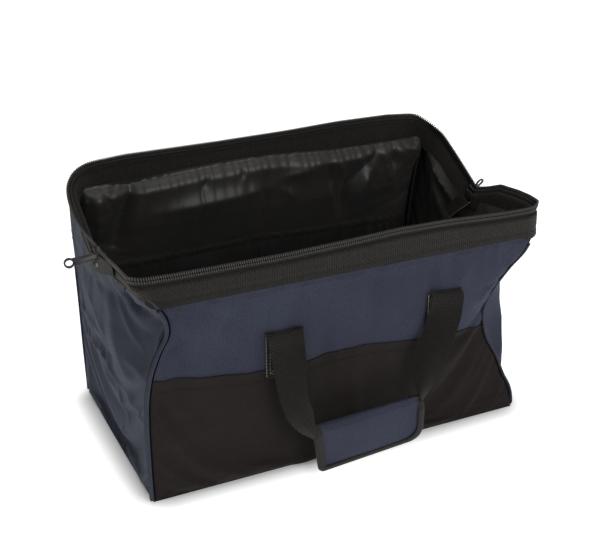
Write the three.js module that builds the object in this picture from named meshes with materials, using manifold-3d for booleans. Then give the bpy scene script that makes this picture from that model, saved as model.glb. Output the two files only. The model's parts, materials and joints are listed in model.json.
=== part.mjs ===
// Wide-mouth zippered tool bag. Millimetres, +X along the length, +Y to the back, +Z up.
import * as THREE from 'three';
import * as BufferGeometryUtils from 'three/addons/utils/BufferGeometryUtils.js';
import Module from 'manifold-3d';

// driving dimensions
const HALF_L = 197.4;          // front and back walls end here
const WALL_Y = 112;            // outer face of the front and back walls
const CLOTH = 1.0;             // outer cloth with its backing
const LINING = 0.6;
const GAP = 0.25;              // clearance between sewn layers
const WAIST_Z = 110;           // black lower band ends here
const FOLD_Z = 158;            // back wall folds here
const FRONT_WIRE = { y: -109, z: 218 };
const BACK_WIRE_S = 260;       // height of the back wire before the wall leans
const BACK_WIRE_Y = 109;
const LEAN = Math.atan2(21, 112);
const PIVOT = { y: -6, z: 206 };
const WIRE_R = 1.5;
const FRONT_ARM_X = HALF_L + 5.4;
const BACK_ARM_X = FRONT_ARM_X + 6.3;
const HEM_DROP = 25;           // webbing below the wire
const HEM_RISE = 3.5;          // webbing above the wire
const LEG = 1.0;               // webbing thickness
const TAPE_RISE = 9;           // top of the zip tape above the wire
const CHAIN_RISE = 12;         // top of the zip chain above the wire
const PITCH = 3;               // zip chain pitch
const BACK_HALF = HALF_L + 6.2;   // half the width of the back hem
const SLIDER_HALF = 2.7;       // half the width of the slider body
const STRAP_W = 38;
const STRAP_T = 1.8;
const ANCHOR_TOP = 151;
const POCKET_DEPTH = 6.4;
const BACK_SAG = 5;            // how far the upper back wall hangs in
const LINING_SWELL = 9;        // how far its lining stands off it
const POCKET_HALF = HALF_L - 7.4;
const POCKET_SEAMS = [0.4 - POCKET_HALF, -103, 3, 107, POCKET_HALF - 0.4];
const FRONT_ANCHORS = [-67, 105];
const BACK_ANCHORS = [-86, 86];

// colours from the photograph
const NAVY = 0x3c4254;
const BLACK = 0x282422;
const WEBBING = 0x32302a;
const SATIN = 0x1c1a19;
const STEEL = 0x8d8f92;
const CHAIN = 0x55555a;
const BOARD = 0x3a3630;
const PIPING = 0x2a2e3c;

const wasm = await Module();
wasm.setup();
const bag = new THREE.Group();
bag.name = 'tool_bag';

function add(name, geometry, color) {
  const material = new THREE.MeshStandardMaterial({ color, roughness: 0.8 });
  const mesh = new THREE.Mesh(geometry, material);
  mesh.name = name;
  bag.add(mesh);
  return mesh;
}

function toSolid(geometry) {
  const g = geometry.clone();
  g.deleteAttribute('normal');
  g.deleteAttribute('uv');
  const m = BufferGeometryUtils.mergeVertices(g, 1e-4);
  return new wasm.Manifold(new wasm.Mesh({
    numProp: 3,
    vertProperties: new Float32Array(m.attributes.position.array),
    triVerts: new Uint32Array(m.index.array),
  }));
}

function fromSolid(solid) {
  const m = solid.getMesh();
  const g = new THREE.BufferGeometry();
  g.setAttribute('position', new THREE.BufferAttribute(new Float32Array(m.vertProperties), 3));
  g.setIndex(new THREE.BufferAttribute(new Uint32Array(m.triVerts), 1));
  g.computeVertexNormals();
  return g;
}

function join(...geometries) {
  return fromSolid(geometries.map(toSolid).reduce((a, b) => a.add(b)));
}

function cut(body, ...tools) {
  return fromSolid(tools.map(toSolid).reduce((a, b) => a.subtract(b), toSolid(body)));
}

function shapeOf(points) {
  return new THREE.Shape(points.map(([u, v]) => new THREE.Vector2(u, v)));
}

// outline in (y, z), thickness along x
function plateYZ(points, x0, x1) {
  const g = new THREE.ExtrudeGeometry(shapeOf(points), { depth: x1 - x0, bevelEnabled: false });
  g.applyMatrix4(new THREE.Matrix4().set(0, 0, 1, x0, 1, 0, 0, 0, 0, 1, 0, 0, 0, 0, 0, 1));
  return g;
}

// outline in (x, z), thickness along y
function plateXZ(points, y0, y1) {
  const g = new THREE.ExtrudeGeometry(shapeOf(points), { depth: y1 - y0, bevelEnabled: false });
  g.applyMatrix4(new THREE.Matrix4().set(1, 0, 0, 0, 0, 0, -1, y1, 0, 1, 0, 0, 0, 0, 0, 1));
  return g;
}

// outline in (x, y), thickness along z
function plateXY(shape, z0, z1) {
  const g = new THREE.ExtrudeGeometry(shape, { depth: z1 - z0, bevelEnabled: false, curveSegments: 6 });
  g.translate(0, 0, z0);
  return g;
}

function box(x0, x1, y0, y1, z0, z1) {
  const g = new THREE.BoxGeometry(x1 - x0, y1 - y0, z1 - z0);
  g.translate((x0 + x1) / 2, (y0 + y1) / 2, (z0 + z1) / 2);
  return g;
}

function turnX(geometry, angle, y, z) {
  geometry.translate(0, -y, -z);
  geometry.rotateX(angle);
  geometry.translate(0, y, z);
  return geometry;
}

// the upper back wall is laid out upright and then leaned in
function leaned(geometry) {
  return turnX(geometry, LEAN, WALL_Y, FOLD_Z);
}

function roundRect(hx, hy, r) {
  const s = new THREE.Shape();
  s.moveTo(-hx + r, -hy);
  s.lineTo(hx - r, -hy);
  s.absarc(hx - r, -hy + r, r, -Math.PI / 2, 0, false);
  s.lineTo(hx, hy - r);
  s.absarc(hx - r, hy - r, r, 0, Math.PI / 2, false);
  s.lineTo(-hx + r, hy);
  s.absarc(-hx + r, hy - r, r, Math.PI / 2, Math.PI, false);
  s.lineTo(-hx, -hy + r);
  s.absarc(-hx + r, -hy + r, r, Math.PI, Math.PI * 1.5, false);
  return s;
}

const BACK_WIRE = (() => {
  const v = new THREE.Vector3(0, BACK_WIRE_Y - WALL_Y, BACK_WIRE_S - FOLD_Z);
  v.applyAxisAngle(new THREE.Vector3(1, 0, 0), LEAN);
  return { y: v.y + WALL_Y, z: v.z + FOLD_Z };
})();

// base: outer panel, stiffening board, lining and the piping round the seam
function base() {
  add('base_panel', plateXY(roundRect(HALF_L + 1.8, WALL_Y - 1, 3), 0, 1.5), BLACK);
  add('base_board', plateXY(roundRect(HALF_L - 7.4, WALL_Y - 8, 6), 1.7, 4.2), BOARD);
  add('base_lining', plateXY(roundRect(HALF_L - 1.4, WALL_Y - 5.5, 6), 4.4, 5.0), SATIN);
  const ring = plateXY(roundRect(HALF_L + 5.2, WALL_Y + 2.6, 5), 0.6, 4.2);
  const hole = plateXY(roundRect(HALF_L + 2, WALL_Y - 0.8, 0.6), -1, 6);
  add('base_piping', cut(ring, hole), PIPING);
}

function sheetXZ(hx, z0, z1) {
  return [[-hx, z0], [hx, z0], [hx, z1], [-hx, z1]];
}

function pipeUp(x, y, z0, z1) {
  const g = new THREE.CylinderGeometry(2, 2, z1 - z0, 14);
  g.rotateX(Math.PI / 2);
  g.translate(x, y, (z0 + z1) / 2);
  return g;
}

// a hem folded over the wire: (across, up) outline
function hemOutline() {
  const out = WIRE_R + 0.2 + LEG;
  const inn = WIRE_R + 0.2;
  return [[-out, -HEM_DROP], [-inn, -HEM_DROP], [-inn, HEM_RISE - LEG], [inn, HEM_RISE - LEG],
    [inn, -HEM_DROP], [out, -HEM_DROP], [out, HEM_RISE], [-out, HEM_RISE]];
}

// toothed chain half standing on its tape: (along, up) outline
function chainOutline(length, low) {
  const pts = [[0, low]];
  const n = Math.floor(length / PITCH);
  pts.push([length, low]);
  for (let i = n - 1; i >= 0; i--) {
    const u = i * PITCH + 0.4;
    pts.push([u + 2.0, CHAIN_RISE - 1.6]);
    pts.push([u + 1.7, CHAIN_RISE]);
    pts.push([u + 0.3, CHAIN_RISE]);
    pts.push([u, CHAIN_RISE - 1.6]);
  }
  pts[pts.length - 1][0] = 0;
  pts[2][0] = length;
  return pts;
}

function frontWall() {
  add('front_lower_panel', plateXZ(sheetXZ(HALF_L, 4.4, WAIST_Z), -WALL_Y, -WALL_Y + CLOTH), BLACK);
  const top = FRONT_WIRE.z - 3;
  add('front_upper_panel', plateXZ(sheetXZ(HALF_L, WAIST_Z + 0.1, top), -WALL_Y, -WALL_Y + CLOTH), NAVY);
  const y0 = -WALL_Y + CLOTH + 0.1;
  add('front_lining', plateXZ(sheetXZ(HALF_L - 1, 5.2, top - 1), y0, y0 + LINING), SATIN);
  const cy = FRONT_WIRE.y;
  const cz = FRONT_WIRE.z;
  // the outer leg lies over the panel, the inner leg over the lining
  const low = cz - HEM_DROP;
  const high = cz + HEM_RISE;
  const hem = [[-113.3, low], [-112.2, low], [-112.2, cz + 2.4], [cy + 1.8, cz + 2.4],
    [cy + 1.8, low], [cy + 2.9, low], [cy + 2.9, high], [-113.3, high]];
  const half = HALF_L - 1;
  add('front_hem', plateYZ(hem, -half, half), WEBBING);
  add('front_zip_tape', box(-half, half, cy - 0.4, cy + 0.4, high, cz + TAPE_RISE), BLACK);
  const teeth = plateXZ(chainOutline(2 * HALF_L - 8, TAPE_RISE), cy - 1.1, cy + 1.1);
  teeth.translate(-HALF_L + 4, 0, cz);
  add('front_zip_teeth', teeth, CHAIN);
  for (const [side, s] of [['left', -1], ['right', 1]]) {
    add(`front_${side}_piping`, pipeUp(s * (HALF_L + 2.25), -WALL_Y - 0.6, 4.6, cz - 26), PIPING);
    const gusset = [[-110.3, 8], [-80, 58], [PIVOT.y - 8, PIVOT.z - 24], [PIVOT.y - 8, PIVOT.z - 0.7],
      [-102, cz - 4.5], [-110.3, cz - 13]];
    add(`front_${side}_gusset`, plateYZ(gusset, ...ends(s, HALF_L + 2, HALF_L + 2.6)), NAVY);
  }
  for (const [side, x] of [['left', FRONT_ANCHORS[0]], ['right', FRONT_ANCHORS[1]]]) {
    add(`front_${side}_anchor`, anchor(x, -1), WEBBING);
  }
}

function ends(s, a, b) {
  return s < 0 ? [-b, -a] : [a, b];
}

// sewn-up strap end, folded over at the top
function anchor(x, s) {
  const y = s * WALL_Y;
  const out = y + s * (0.1 + STRAP_T);
  const pts = [[y + s * 0.1, WAIST_Z], [out, WAIST_Z], [out, ANCHOR_TOP - 3],
    [y + s * 3.4, ANCHOR_TOP - 0.6], [y + s * 2.6, ANCHOR_TOP], [y + s * 0.1, ANCHOR_TOP]];
  return plateYZ(s < 0 ? pts.reverse() : pts, x - STRAP_W / 2, x + STRAP_W / 2);
}

// pocket row seen from above: a front sheet with a seam back to the lining at each divider
function pockets(back, z0, z1) {
  const front = back - POCKET_DEPTH;
  const half = 0.4;
  const pts = [[-POCKET_HALF, front - half], [POCKET_HALF, front - half]];
  for (let i = POCKET_SEAMS.length - 1; i >= 0; i--) {
    const x = POCKET_SEAMS[i];
    if (i < POCKET_SEAMS.length - 1) {
      pts.push([x + half, front + half]);
    }
    pts.push([i < POCKET_SEAMS.length - 1 ? x + half : POCKET_HALF, back]);
    pts.push([i > 0 ? x - half : -POCKET_HALF, back]);
    if (i > 0) {
      pts.push([x - half, front + half]);
    }
  }
  return plateXY(shapeOf(pts), z0, z1);
}

function backWall() {
  const y1 = WALL_Y;
  add('back_lower_panel', plateXZ(sheetXZ(HALF_L, 4.4, WAIST_Z), y1 - CLOTH, y1), BLACK);
  add('back_middle_panel', plateXZ(sheetXZ(HALF_L, WAIST_Z + 0.1, FOLD_Z + 1.4), y1 - CLOTH, y1), NAVY);
  const inner = y1 - CLOTH - 0.1;
  add('back_lower_lining', plateXZ(sheetXZ(HALF_L - 1, 5.2, FOLD_Z + 1.3), inner - LINING, inner), SATIN);
  const py = inner - LINING - 0.1;
  add('pocket_row', pockets(py, 20, 143), SATIN);
  const rim = py - POCKET_DEPTH;
  add('pocket_elastic', plateXZ(sheetXZ(POCKET_HALF, 143.1, 150), rim - 1.2, rim + 0.4), BLACK);
  for (const [side, s] of [['left', -1], ['right', 1]]) {
    add(`back_${side}_piping`, pipeUp(s * (HALF_L + 2.25), y1 + 0.6, 4.4, FOLD_Z - 1), PIPING);
  }
  for (const [side, x] of [['left', BACK_ANCHORS[0]], ['right', BACK_ANCHORS[1]]]) {
    add(`back_${side}_anchor`, anchor(x, 1), WEBBING);
  }
}

function endWalls() {
  for (const [side, s] of [['left', -1], ['right', 1]]) {
    const [x0, x1] = ends(s, HALF_L + 1, HALF_L + 1.8);
    const panel = [[-108.5, 1.7], [110.3, 1.7], [110.3, FOLD_Z - 1], [-76, 57]];
    add(`${side}_end_panel`, plateYZ(panel, x0, x1), NAVY);
    const fold = [[-75.6, 57.5], [108, FOLD_Z - 1.9], [PIVOT.y, PIVOT.z - 4], [PIVOT.y - 10, PIVOT.z - 16]];
    add(`${side}_gusset_fold`, plateYZ(fold, x0, x1), NAVY);
  }
}

function wirePath(points, r) {
  const path = new THREE.CurvePath();
  let from = points[0];
  for (let i = 1; i < points.length - 1; i++) {
    const back = points[i - 1].clone().sub(points[i]).normalize().multiplyScalar(r).add(points[i]);
    const on = points[i + 1].clone().sub(points[i]).normalize().multiplyScalar(r).add(points[i]);
    path.add(new THREE.LineCurve3(from, back));
    path.add(new THREE.QuadraticBezierCurve3(back, points[i].clone(), on));
    from = on;
  }
  path.add(new THREE.LineCurve3(from, points[points.length - 1]));
  return path;
}

// U-shaped steel wire with an eye at each end
function wireFrame(hem, armX) {
  const eye = 6.5;
  const dir = new THREE.Vector3(0, PIVOT.y - hem.y, PIVOT.z - hem.z).normalize();
  const end = (s) => new THREE.Vector3(s * armX, PIVOT.y, PIVOT.z).addScaledVector(dir, -4);
  const corner = (s) => new THREE.Vector3(s * armX, hem.y, hem.z);
  const path = wirePath([end(-1), corner(-1), corner(1), end(1)], 5);
  const circle = new THREE.Shape();
  circle.absarc(0, 0, WIRE_R, 0, Math.PI * 2, false);
  const wire = new THREE.ExtrudeGeometry(circle, { steps: 64, curveSegments: 5, extrudePath: path });
  const parts = [toSolid(wire)];
  for (const s of [-1, 1]) {
    const disc = new THREE.CylinderGeometry(eye, eye, 2.4, 28);
    disc.rotateZ(Math.PI / 2);
    disc.translate(s * armX, PIVOT.y, PIVOT.z);
    parts.push(toSolid(disc));
  }
  let solid = parts.reduce((a, b) => a.add(b));
  for (const s of [-1, 1]) {
    const bore = new THREE.CylinderGeometry(2.6, 2.6, 8, 20);
    bore.rotateZ(Math.PI / 2);
    bore.translate(s * armX, PIVOT.y, PIVOT.z);
    solid = solid.subtract(toSolid(bore));
  }
  return fromSolid(solid);
}

function armPlace(geometry, hem, x) {
  const angle = Math.atan2(PIVOT.z - hem.z, Math.abs(PIVOT.y - hem.y));
  const flip = PIVOT.y < hem.y;
  if (flip) {
    geometry.rotateZ(Math.PI);
    geometry.rotateX(-angle);
  } else {
    geometry.rotateX(angle);
  }
  geometry.translate(x, hem.y, hem.z);
  return geometry;
}

function armLength(hem) {
  return Math.hypot(PIVOT.y - hem.y, PIVOT.z - hem.z);
}

// webbing folded over one arm of the frame, and the chain half on top of it
function armHem(hem, x) {
  const len = armLength(hem);
  const side = [[8, -5], [39, -HEM_DROP], [len - 8, -HEM_DROP], [len - 8, HEM_RISE + 1], [8, HEM_RISE + 1]];
  const g = new THREE.ExtrudeGeometry(shapeOf(hemOutline()), { depth: len - 16, bevelEnabled: false });
  g.applyMatrix4(new THREE.Matrix4().set(1, 0, 0, 0, 0, 0, -1, len - 8, 0, 1, 0, 0, 0, 0, 0, 1));
  const trimmed = fromSolid(toSolid(g).intersect(toSolid(plateYZ(side, -9, 9))));
  return armPlace(trimmed, hem, x);
}

function armChain(hem, x) {
  const len = armLength(hem) - 18;
  const g = plateYZ(chainOutline(len, HEM_RISE), -0.9, 0.9);
  g.translate(0, 8, 0);
  return armPlace(g, hem, x);
}

function frontFrame() {
  add('front_wire_frame', wireFrame(FRONT_WIRE, FRONT_ARM_X), STEEL);
  for (const [side, s] of [['left', -1], ['right', 1]]) {
    add(`front_${side}_arm_hem`, armHem(FRONT_WIRE, s * FRONT_ARM_X), WEBBING);
    add(`front_${side}_arm_chain`, armChain(FRONT_WIRE, s * FRONT_ARM_X), CHAIN);
    const rivet = new THREE.LatheGeometry([[0, -1.9], [4.2, -1.9], [4.2, -1.4], [2.4, -1.3], [2.4, 1.6],
      [4.2, 1.7], [4.2, 2.2], [0, 2.2]].map(([u, v]) => new THREE.Vector2(u, v)), 24);
    rivet.rotateZ(-Math.PI / 2 * s);
    rivet.translate(s * FRONT_ARM_X, PIVOT.y, PIVOT.z);
    add(`${side}_pivot_rivet`, rivet, STEEL);
  }
}

// 0 at the fold and from the hem up, 1 half way
function hang(z) {
  const t = (z - FOLD_Z - 2) / (BACK_WIRE_S - HEM_DROP - FOLD_Z - 3);
  return t > 0 && t < 1 ? Math.sin(Math.PI * t) : 0;
}

function backSag(x, z) {
  return BACK_SAG * Math.cos(Math.PI / 2 * Math.min(1, Math.abs(x) / HALF_L)) * hang(z);
}

// the lining pillows between the wall ends and the seams of the two right pockets
function pillows(x, z) {
  const seams = [-HALF_L, POCKET_SEAMS[2], POCKET_SEAMS[3], HALF_L];
  let swell = 0;
  for (let i = 1; i < seams.length; i++) {
    if (x > seams[i - 1] && x < seams[i]) {
      swell = Math.sin(Math.PI * (x - seams[i - 1]) / (seams[i] - seams[i - 1]));
    }
  }
  return backSag(x, z) + (0.7 + LINING_SWELL * swell) * hang(z);
}

// sheet between two heights, pushed inwards by depth(x, z)
function hangingSheet(halfLow, halfHigh, z0, z1, y0, y1, depth) {
  const g = new THREE.BoxGeometry(2, y1 - y0, z1 - z0, 24, 1, 6);
  g.translate(0, (y0 + y1) / 2, (z0 + z1) / 2);
  const p = g.attributes.position;
  for (let i = 0; i < p.count; i++) {
    const z = p.getZ(i);
    const half = halfLow + (halfHigh - halfLow) * (z - z0) / (z1 - z0);
    const x = p.getX(i) * half;
    p.setXYZ(i, x, p.getY(i) - depth(x, z), z);
  }
  return g;
}

function backMouth() {
  const low = HALF_L + 6;
  const high = HALF_L + 7.8;
  const inner = WALL_Y - CLOTH - 0.1;
  const cy = BACK_WIRE_Y;
  const cz = BACK_WIRE_S;
  const cloth = hangingSheet(low, high, FOLD_Z + 1.8, cz - 3, WALL_Y - CLOTH, WALL_Y, backSag);
  add('back_upper_panel', leaned(cloth), NAVY);
  const lining = hangingSheet(low - 1, high - 1, FOLD_Z + 2, cz - 4, inner - LINING, inner, pillows);
  add('back_upper_lining', leaned(lining), SATIN);
  add('back_wire_frame', wireFrame(BACK_WIRE, BACK_ARM_X), STEEL);
  const bottom = cz - HEM_DROP;
  const top = cz + HEM_RISE;
  const hem = [[cy - 2.9, bottom], [cy - 1.8, bottom], [cy - 1.8, cz + 2.4], [112.2, cz + 2.4],
    [112.2, bottom], [113.3, bottom], [113.3, top], [cy - 2.9, top]];
  add('back_hem', leaned(plateYZ(hem, -BACK_HALF, BACK_HALF)), WEBBING);
  const tape = box(-BACK_HALF, BACK_HALF, cy - 0.4, cy + 0.4, top, cz + TAPE_RISE);
  add('back_zip_tape', leaned(tape), BLACK);
  const teeth = plateXZ(chainOutline(2 * BACK_HALF - 5, TAPE_RISE), cy - 1.1, cy + 1.1);
  teeth.translate(2.5 - BACK_HALF, 0, cz);
  add('back_zip_teeth', leaned(teeth), CHAIN);
  for (const [side, s] of [['left', -1], ['right', 1]]) {
    add(`back_${side}_arm_hem`, armHem(BACK_WIRE, s * BACK_ARM_X), WEBBING);
    add(`back_${side}_arm_chain`, armChain(BACK_WIRE, s * BACK_ARM_X), CHAIN);
    const gusset = [[111, FOLD_Z + 4], [92.5, cz - 4],
      [PIVOT.y + 14, PIVOT.z + 5.5], [PIVOT.y + 6, PIVOT.z - 16]];
    add(`back_${side}_gusset`, plateYZ(gusset, ...ends(s, HALF_L + 8.2, HALF_L + 8.8)), NAVY);
  }
}

// ribbon that follows a (y, z) line, then leans along x
function ribbon(line, x, width, thick, shear, z0) {
  const curve = new THREE.SplineCurve(line.map(([u, v]) => new THREE.Vector2(u, v)));
  const n = 14;
  const a = [];
  const b = [];
  for (let i = 0; i <= n; i++) {
    const p = curve.getPoint(i / n);
    const t = curve.getTangent(i / n);
    a.push([p.x - t.y * thick / 2, p.y + t.x * thick / 2]);
    b.push([p.x + t.y * thick / 2, p.y - t.x * thick / 2]);
  }
  let outline = a.concat(b.reverse());
  if (THREE.ShapeUtils.area(outline.map(([u, v]) => new THREE.Vector2(u, v))) < 0) {
    outline = outline.reverse();
  }
  const g = plateYZ(outline, x - width / 2, x + width / 2);
  g.applyMatrix4(new THREE.Matrix4().set(1, 0, shear, -shear * z0, 0, 1, 0, 0, 0, 0, 1, 0, 0, 0, 0, 1));
  return g;
}

const GRIP = { x: 10, y: -145, z: 34, half: 52, tall: 40, tilt: 0.12 };

function tilted(geometry) {
  geometry.rotateY(-GRIP.tilt);
  geometry.translate(GRIP.x, GRIP.y, GRIP.z);
  return geometry;
}

function frontHandle() {
  const line = [[-116.2, 150], [-126, 141], [-137, 112], [-143, 84], [-144.9, 60], [-145, 30]];
  const left = ribbon(line, FRONT_ANCHORS[0], STRAP_W, STRAP_T, -0.22, 150);
  const right = ribbon(line, FRONT_ANCHORS[1], STRAP_W, STRAP_T, 0.36, 150);
  const run = tilted(box(-70, 72, -STRAP_T / 2, STRAP_T / 2, -19, 19));
  const keep = box(-300, 300, -200, -100, 8, ANCHOR_TOP);
  const strap = fromSolid(toSolid(left).add(toSolid(right)).add(toSolid(run)).intersect(toSolid(keep)));
  add('front_handle_strap', strap, WEBBING);
  const pad = new THREE.ExtrudeGeometry(roundRect(GRIP.half, GRIP.tall / 2, 5),
    { depth: 5, bevelEnabled: false, curveSegments: 4 });
  pad.rotateX(Math.PI / 2);
  pad.translate(0, STRAP_T / 2 + 0.2 + 5, 0);
  add('front_grip_pad', tilted(pad), NAVY);
  const flap = new THREE.ExtrudeGeometry(roundRect(GRIP.half, GRIP.tall / 2, 5),
    { depth: 3.5, bevelEnabled: false, curveSegments: 4 });
  flap.rotateX(Math.PI / 2);
  flap.translate(0, -STRAP_T / 2 - 0.2, 0);
  add('grip_flap', tilted(flap), NAVY);
}

function backHandle() {
  const line = [[116.2, 150], [124, 141], [132, 112], [135, 78], [135, 50], [135, 30]];
  const left = ribbon(line, BACK_ANCHORS[0], STRAP_W, STRAP_T, -0.3, 150);
  const right = ribbon(line, BACK_ANCHORS[1], STRAP_W, STRAP_T, 0.3, 150);
  const run = box(-68, 68, 135 - STRAP_T / 2, 135 + STRAP_T / 2, 10, 48);
  add('back_handle_strap', join(left, right, run), WEBBING);
}

// slider body round the back arm's chain, with the pull lying outwards, and the tail hanging inside
function zipEnds() {
  const along = armLength(BACK_WIRE) - 14;
  for (const [side, s] of [['left', -1], ['right', 1]]) {
    const x = s * BACK_ARM_X;
    const block = new THREE.ExtrudeGeometry(roundRect(SLIDER_HALF, 6, 2.4),
      { depth: 9.6, bevelEnabled: false, curveSegments: 5 });
    block.translate(0, along, 5);
    const slot = box(-1.3, 1.3, along - 10, along + 10, 2, CHAIN_RISE + 0.5);
    add(`${side}_slider`, armPlace(cut(block, slot), BACK_WIRE, x), STEEL);
    const flat = pull(-s);
    flat.translate(-s * (SLIDER_HALF + 0.4), along, CHAIN_RISE + 2.4);
    add(`${side}_pull`, armPlace(flat, BACK_WIRE, x), STEEL);
    const end = PIVOT.z - 24;
    const tail = [[1.8, PIVOT.z + 2], [-0.6, PIVOT.z + 2], [-0.6, end], [0.8, end],
      [0.8, PIVOT.z - 6], [1.8, PIVOT.z - 6]];
    const outline = tail.map(([u, v]) => [s * (HALF_L + u), v]);
    add(`${side}_zip_tail`, plateXZ(s < 0 ? outline.reverse() : outline, -60, -25), BLACK);
  }
}

function pull(s) {
  const outline = new THREE.Shape();
  outline.moveTo(0, -2.2);
  outline.lineTo(10, -2.6);
  outline.lineTo(18, -5);
  outline.absarc(28, 0, 6, -Math.PI / 2, Math.PI / 2, false);
  outline.lineTo(18, 5);
  outline.lineTo(10, 2.6);
  outline.lineTo(0, 2.2);
  const eye = new THREE.Path();
  eye.absellipse(27.5, 0, 3.6, 2.8, 0, Math.PI * 2, true);
  outline.holes.push(eye);
  const g = new THREE.ExtrudeGeometry(outline, { depth: 1.6, bevelEnabled: false, curveSegments: 8 });
  if (s < 0) {
    g.rotateZ(Math.PI);
  }
  g.rotateY(s * 0.22);
  return g;
}

base();
frontWall();
backWall();
endWalls();
frontFrame();
backMouth();
frontHandle();
backHandle();
zipEnds();

export default bag;
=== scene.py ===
import json
import math
import bpy
import bmesh
import numpy as np
from mathutils import Matrix, Vector, noise


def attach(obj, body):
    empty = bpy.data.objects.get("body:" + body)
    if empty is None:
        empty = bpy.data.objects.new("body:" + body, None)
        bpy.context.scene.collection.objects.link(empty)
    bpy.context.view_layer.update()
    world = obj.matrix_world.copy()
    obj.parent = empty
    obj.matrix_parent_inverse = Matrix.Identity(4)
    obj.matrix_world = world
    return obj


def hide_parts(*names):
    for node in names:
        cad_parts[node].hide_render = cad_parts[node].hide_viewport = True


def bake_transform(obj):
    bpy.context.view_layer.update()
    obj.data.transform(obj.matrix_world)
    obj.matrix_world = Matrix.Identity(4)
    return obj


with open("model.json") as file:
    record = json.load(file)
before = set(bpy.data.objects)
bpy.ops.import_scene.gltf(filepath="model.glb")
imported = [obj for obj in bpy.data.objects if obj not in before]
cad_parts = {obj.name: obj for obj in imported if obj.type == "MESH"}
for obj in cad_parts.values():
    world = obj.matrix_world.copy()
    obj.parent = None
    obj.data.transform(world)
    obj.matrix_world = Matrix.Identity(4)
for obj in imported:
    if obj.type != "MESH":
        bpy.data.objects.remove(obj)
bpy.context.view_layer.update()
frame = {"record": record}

scene = bpy.context.scene
scene.view_settings.view_transform = "Standard"
MM = 0.001

# Camera.
# Solved from the corner pixels of the photograph: azimuth -25.4, elevation 25 degrees, at 1.1 m.
# The picture is 600 by 560, with the bag a little below its middle.
azimuth, elevation = math.radians(-25.4), math.radians(25.0)
distance, target = 1.1049, Vector((0, 0, 0.1288))
sight = Vector((math.sin(azimuth) * math.cos(elevation), -math.cos(azimuth) * math.cos(elevation), math.sin(elevation)))
camera = bpy.data.objects.new("view", bpy.data.cameras.new("view"))
camera.location = target + sight * distance
camera.rotation_euler = sight.to_track_quat("Z", "Y").to_euler()
camera.data.sensor_width = 36
camera.data.lens = 63.48
camera.data.shift_x = 0.0045
camera.data.shift_y = 0.0202
camera.data.clip_start = 0.05
scene.collection.objects.link(camera)
scene.camera = camera


# Studio.
# A wide soft lamp above the bag and a stronger one in front of it, in a white room.
# The floor glows white away from the bag; the glow fades out near the bag's footprint, so that the floor there shows
# its real shadow and is also darker by painted shadow.
def feed(tree, fed, given):
    """Give a node's inputs their values, or the nodes and sockets that feed them."""
    for socket, value in given.items():
        if isinstance(value, bpy.types.Node):
            value = value.outputs[0]
        if isinstance(value, bpy.types.NodeSocket):
            tree.links.new(value, fed.inputs[socket])
        else:
            fed.inputs[socket].default_value = value


def node(tree, kind, given=None, **settings):
    """A new shader node with its settings and inputs."""
    made = tree.nodes.new("ShaderNode" + kind)
    for setting, value in settings.items():
        setattr(made, setting, value)
    feed(tree, made, given or {})
    return made


def piece_of(name, bm, *finishes):
    """An object made of a bmesh, which is freed."""
    mesh = bpy.data.meshes.new(name)
    bm.to_mesh(mesh)
    bm.free()
    for finish in finishes:
        mesh.materials.append(finish)
    piece = bpy.data.objects.new(name, mesh)
    scene.collection.objects.link(piece)
    return piece


room = bpy.data.worlds.new("white_room")
scene.world = room
room.use_nodes = True
tree = room.node_tree
tree.nodes.clear()
ray = node(tree, "LightPath")
seen = node(tree, "MapRange", {"Value": ray.outputs["Is Camera Ray"], "To Min": 0.22, "To Max": 1.0})
glow = node(tree, "Background", {"Color": (1, 1, 1, 1), "Strength": seen})
node(tree, "OutputWorld", {"Surface": glow})
for name, place, aim, size, power in (("overhead", (-0.1, 0.15, 1.5), (0, 0, 0.1), 1.2, 7.0),
                                      ("front", (0.1, -1.9, 1.15), (0, 0, 0.14), 0.9, 18.0)):
    lamp = bpy.data.lights.new(name, "AREA")
    lamp.size = size
    lamp.energy = power
    stand = bpy.data.objects.new(name, lamp)
    stand.location = place
    stand.rotation_euler = (Vector(place) - Vector(aim)).to_track_quat("Z", "Y").to_euler()
    scene.collection.objects.link(stand)
paper = bpy.data.materials.new("white_paper")
paper.use_nodes = True
tree = paper.node_tree
tree.nodes.clear()
# Painted shadow: the glow is 0.1 close to the bag's edge and rises to 0.9 a few centimetres out.
far = node(tree, "VectorMath", {0: node(tree, "TexCoord").outputs["Object"]}, operation="ABSOLUTE")
past = node(tree, "VectorMath", {0: far, 1: (0.18, 0.09, 0)}, operation="SUBTRACT")
only_out = node(tree, "VectorMath", {0: past}, operation="MAXIMUM")
reach = node(tree, "VectorMath", {0: only_out}, operation="LENGTH")
fade = node(tree, "MapRange", {"Value": reach.outputs["Value"], "From Min": 0.018, "From Max": 0.055,
                               "To Min": 0.1, "To Max": 0.9}, interpolation_type="SMOOTHSTEP")
lift = node(tree, "Emission", {"Strength": fade})
matt = node(tree, "BsdfDiffuse", {"Color": (0.9, 0.9, 0.9, 1)})
node(tree, "OutputMaterial", {"Surface": node(tree, "AddShader", {0: matt, 1: lift})})
bm = bmesh.new()
bmesh.ops.create_grid(bm, x_segments=1, y_segments=1, size=6)
piece_of("floor", bm, paper)


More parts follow.
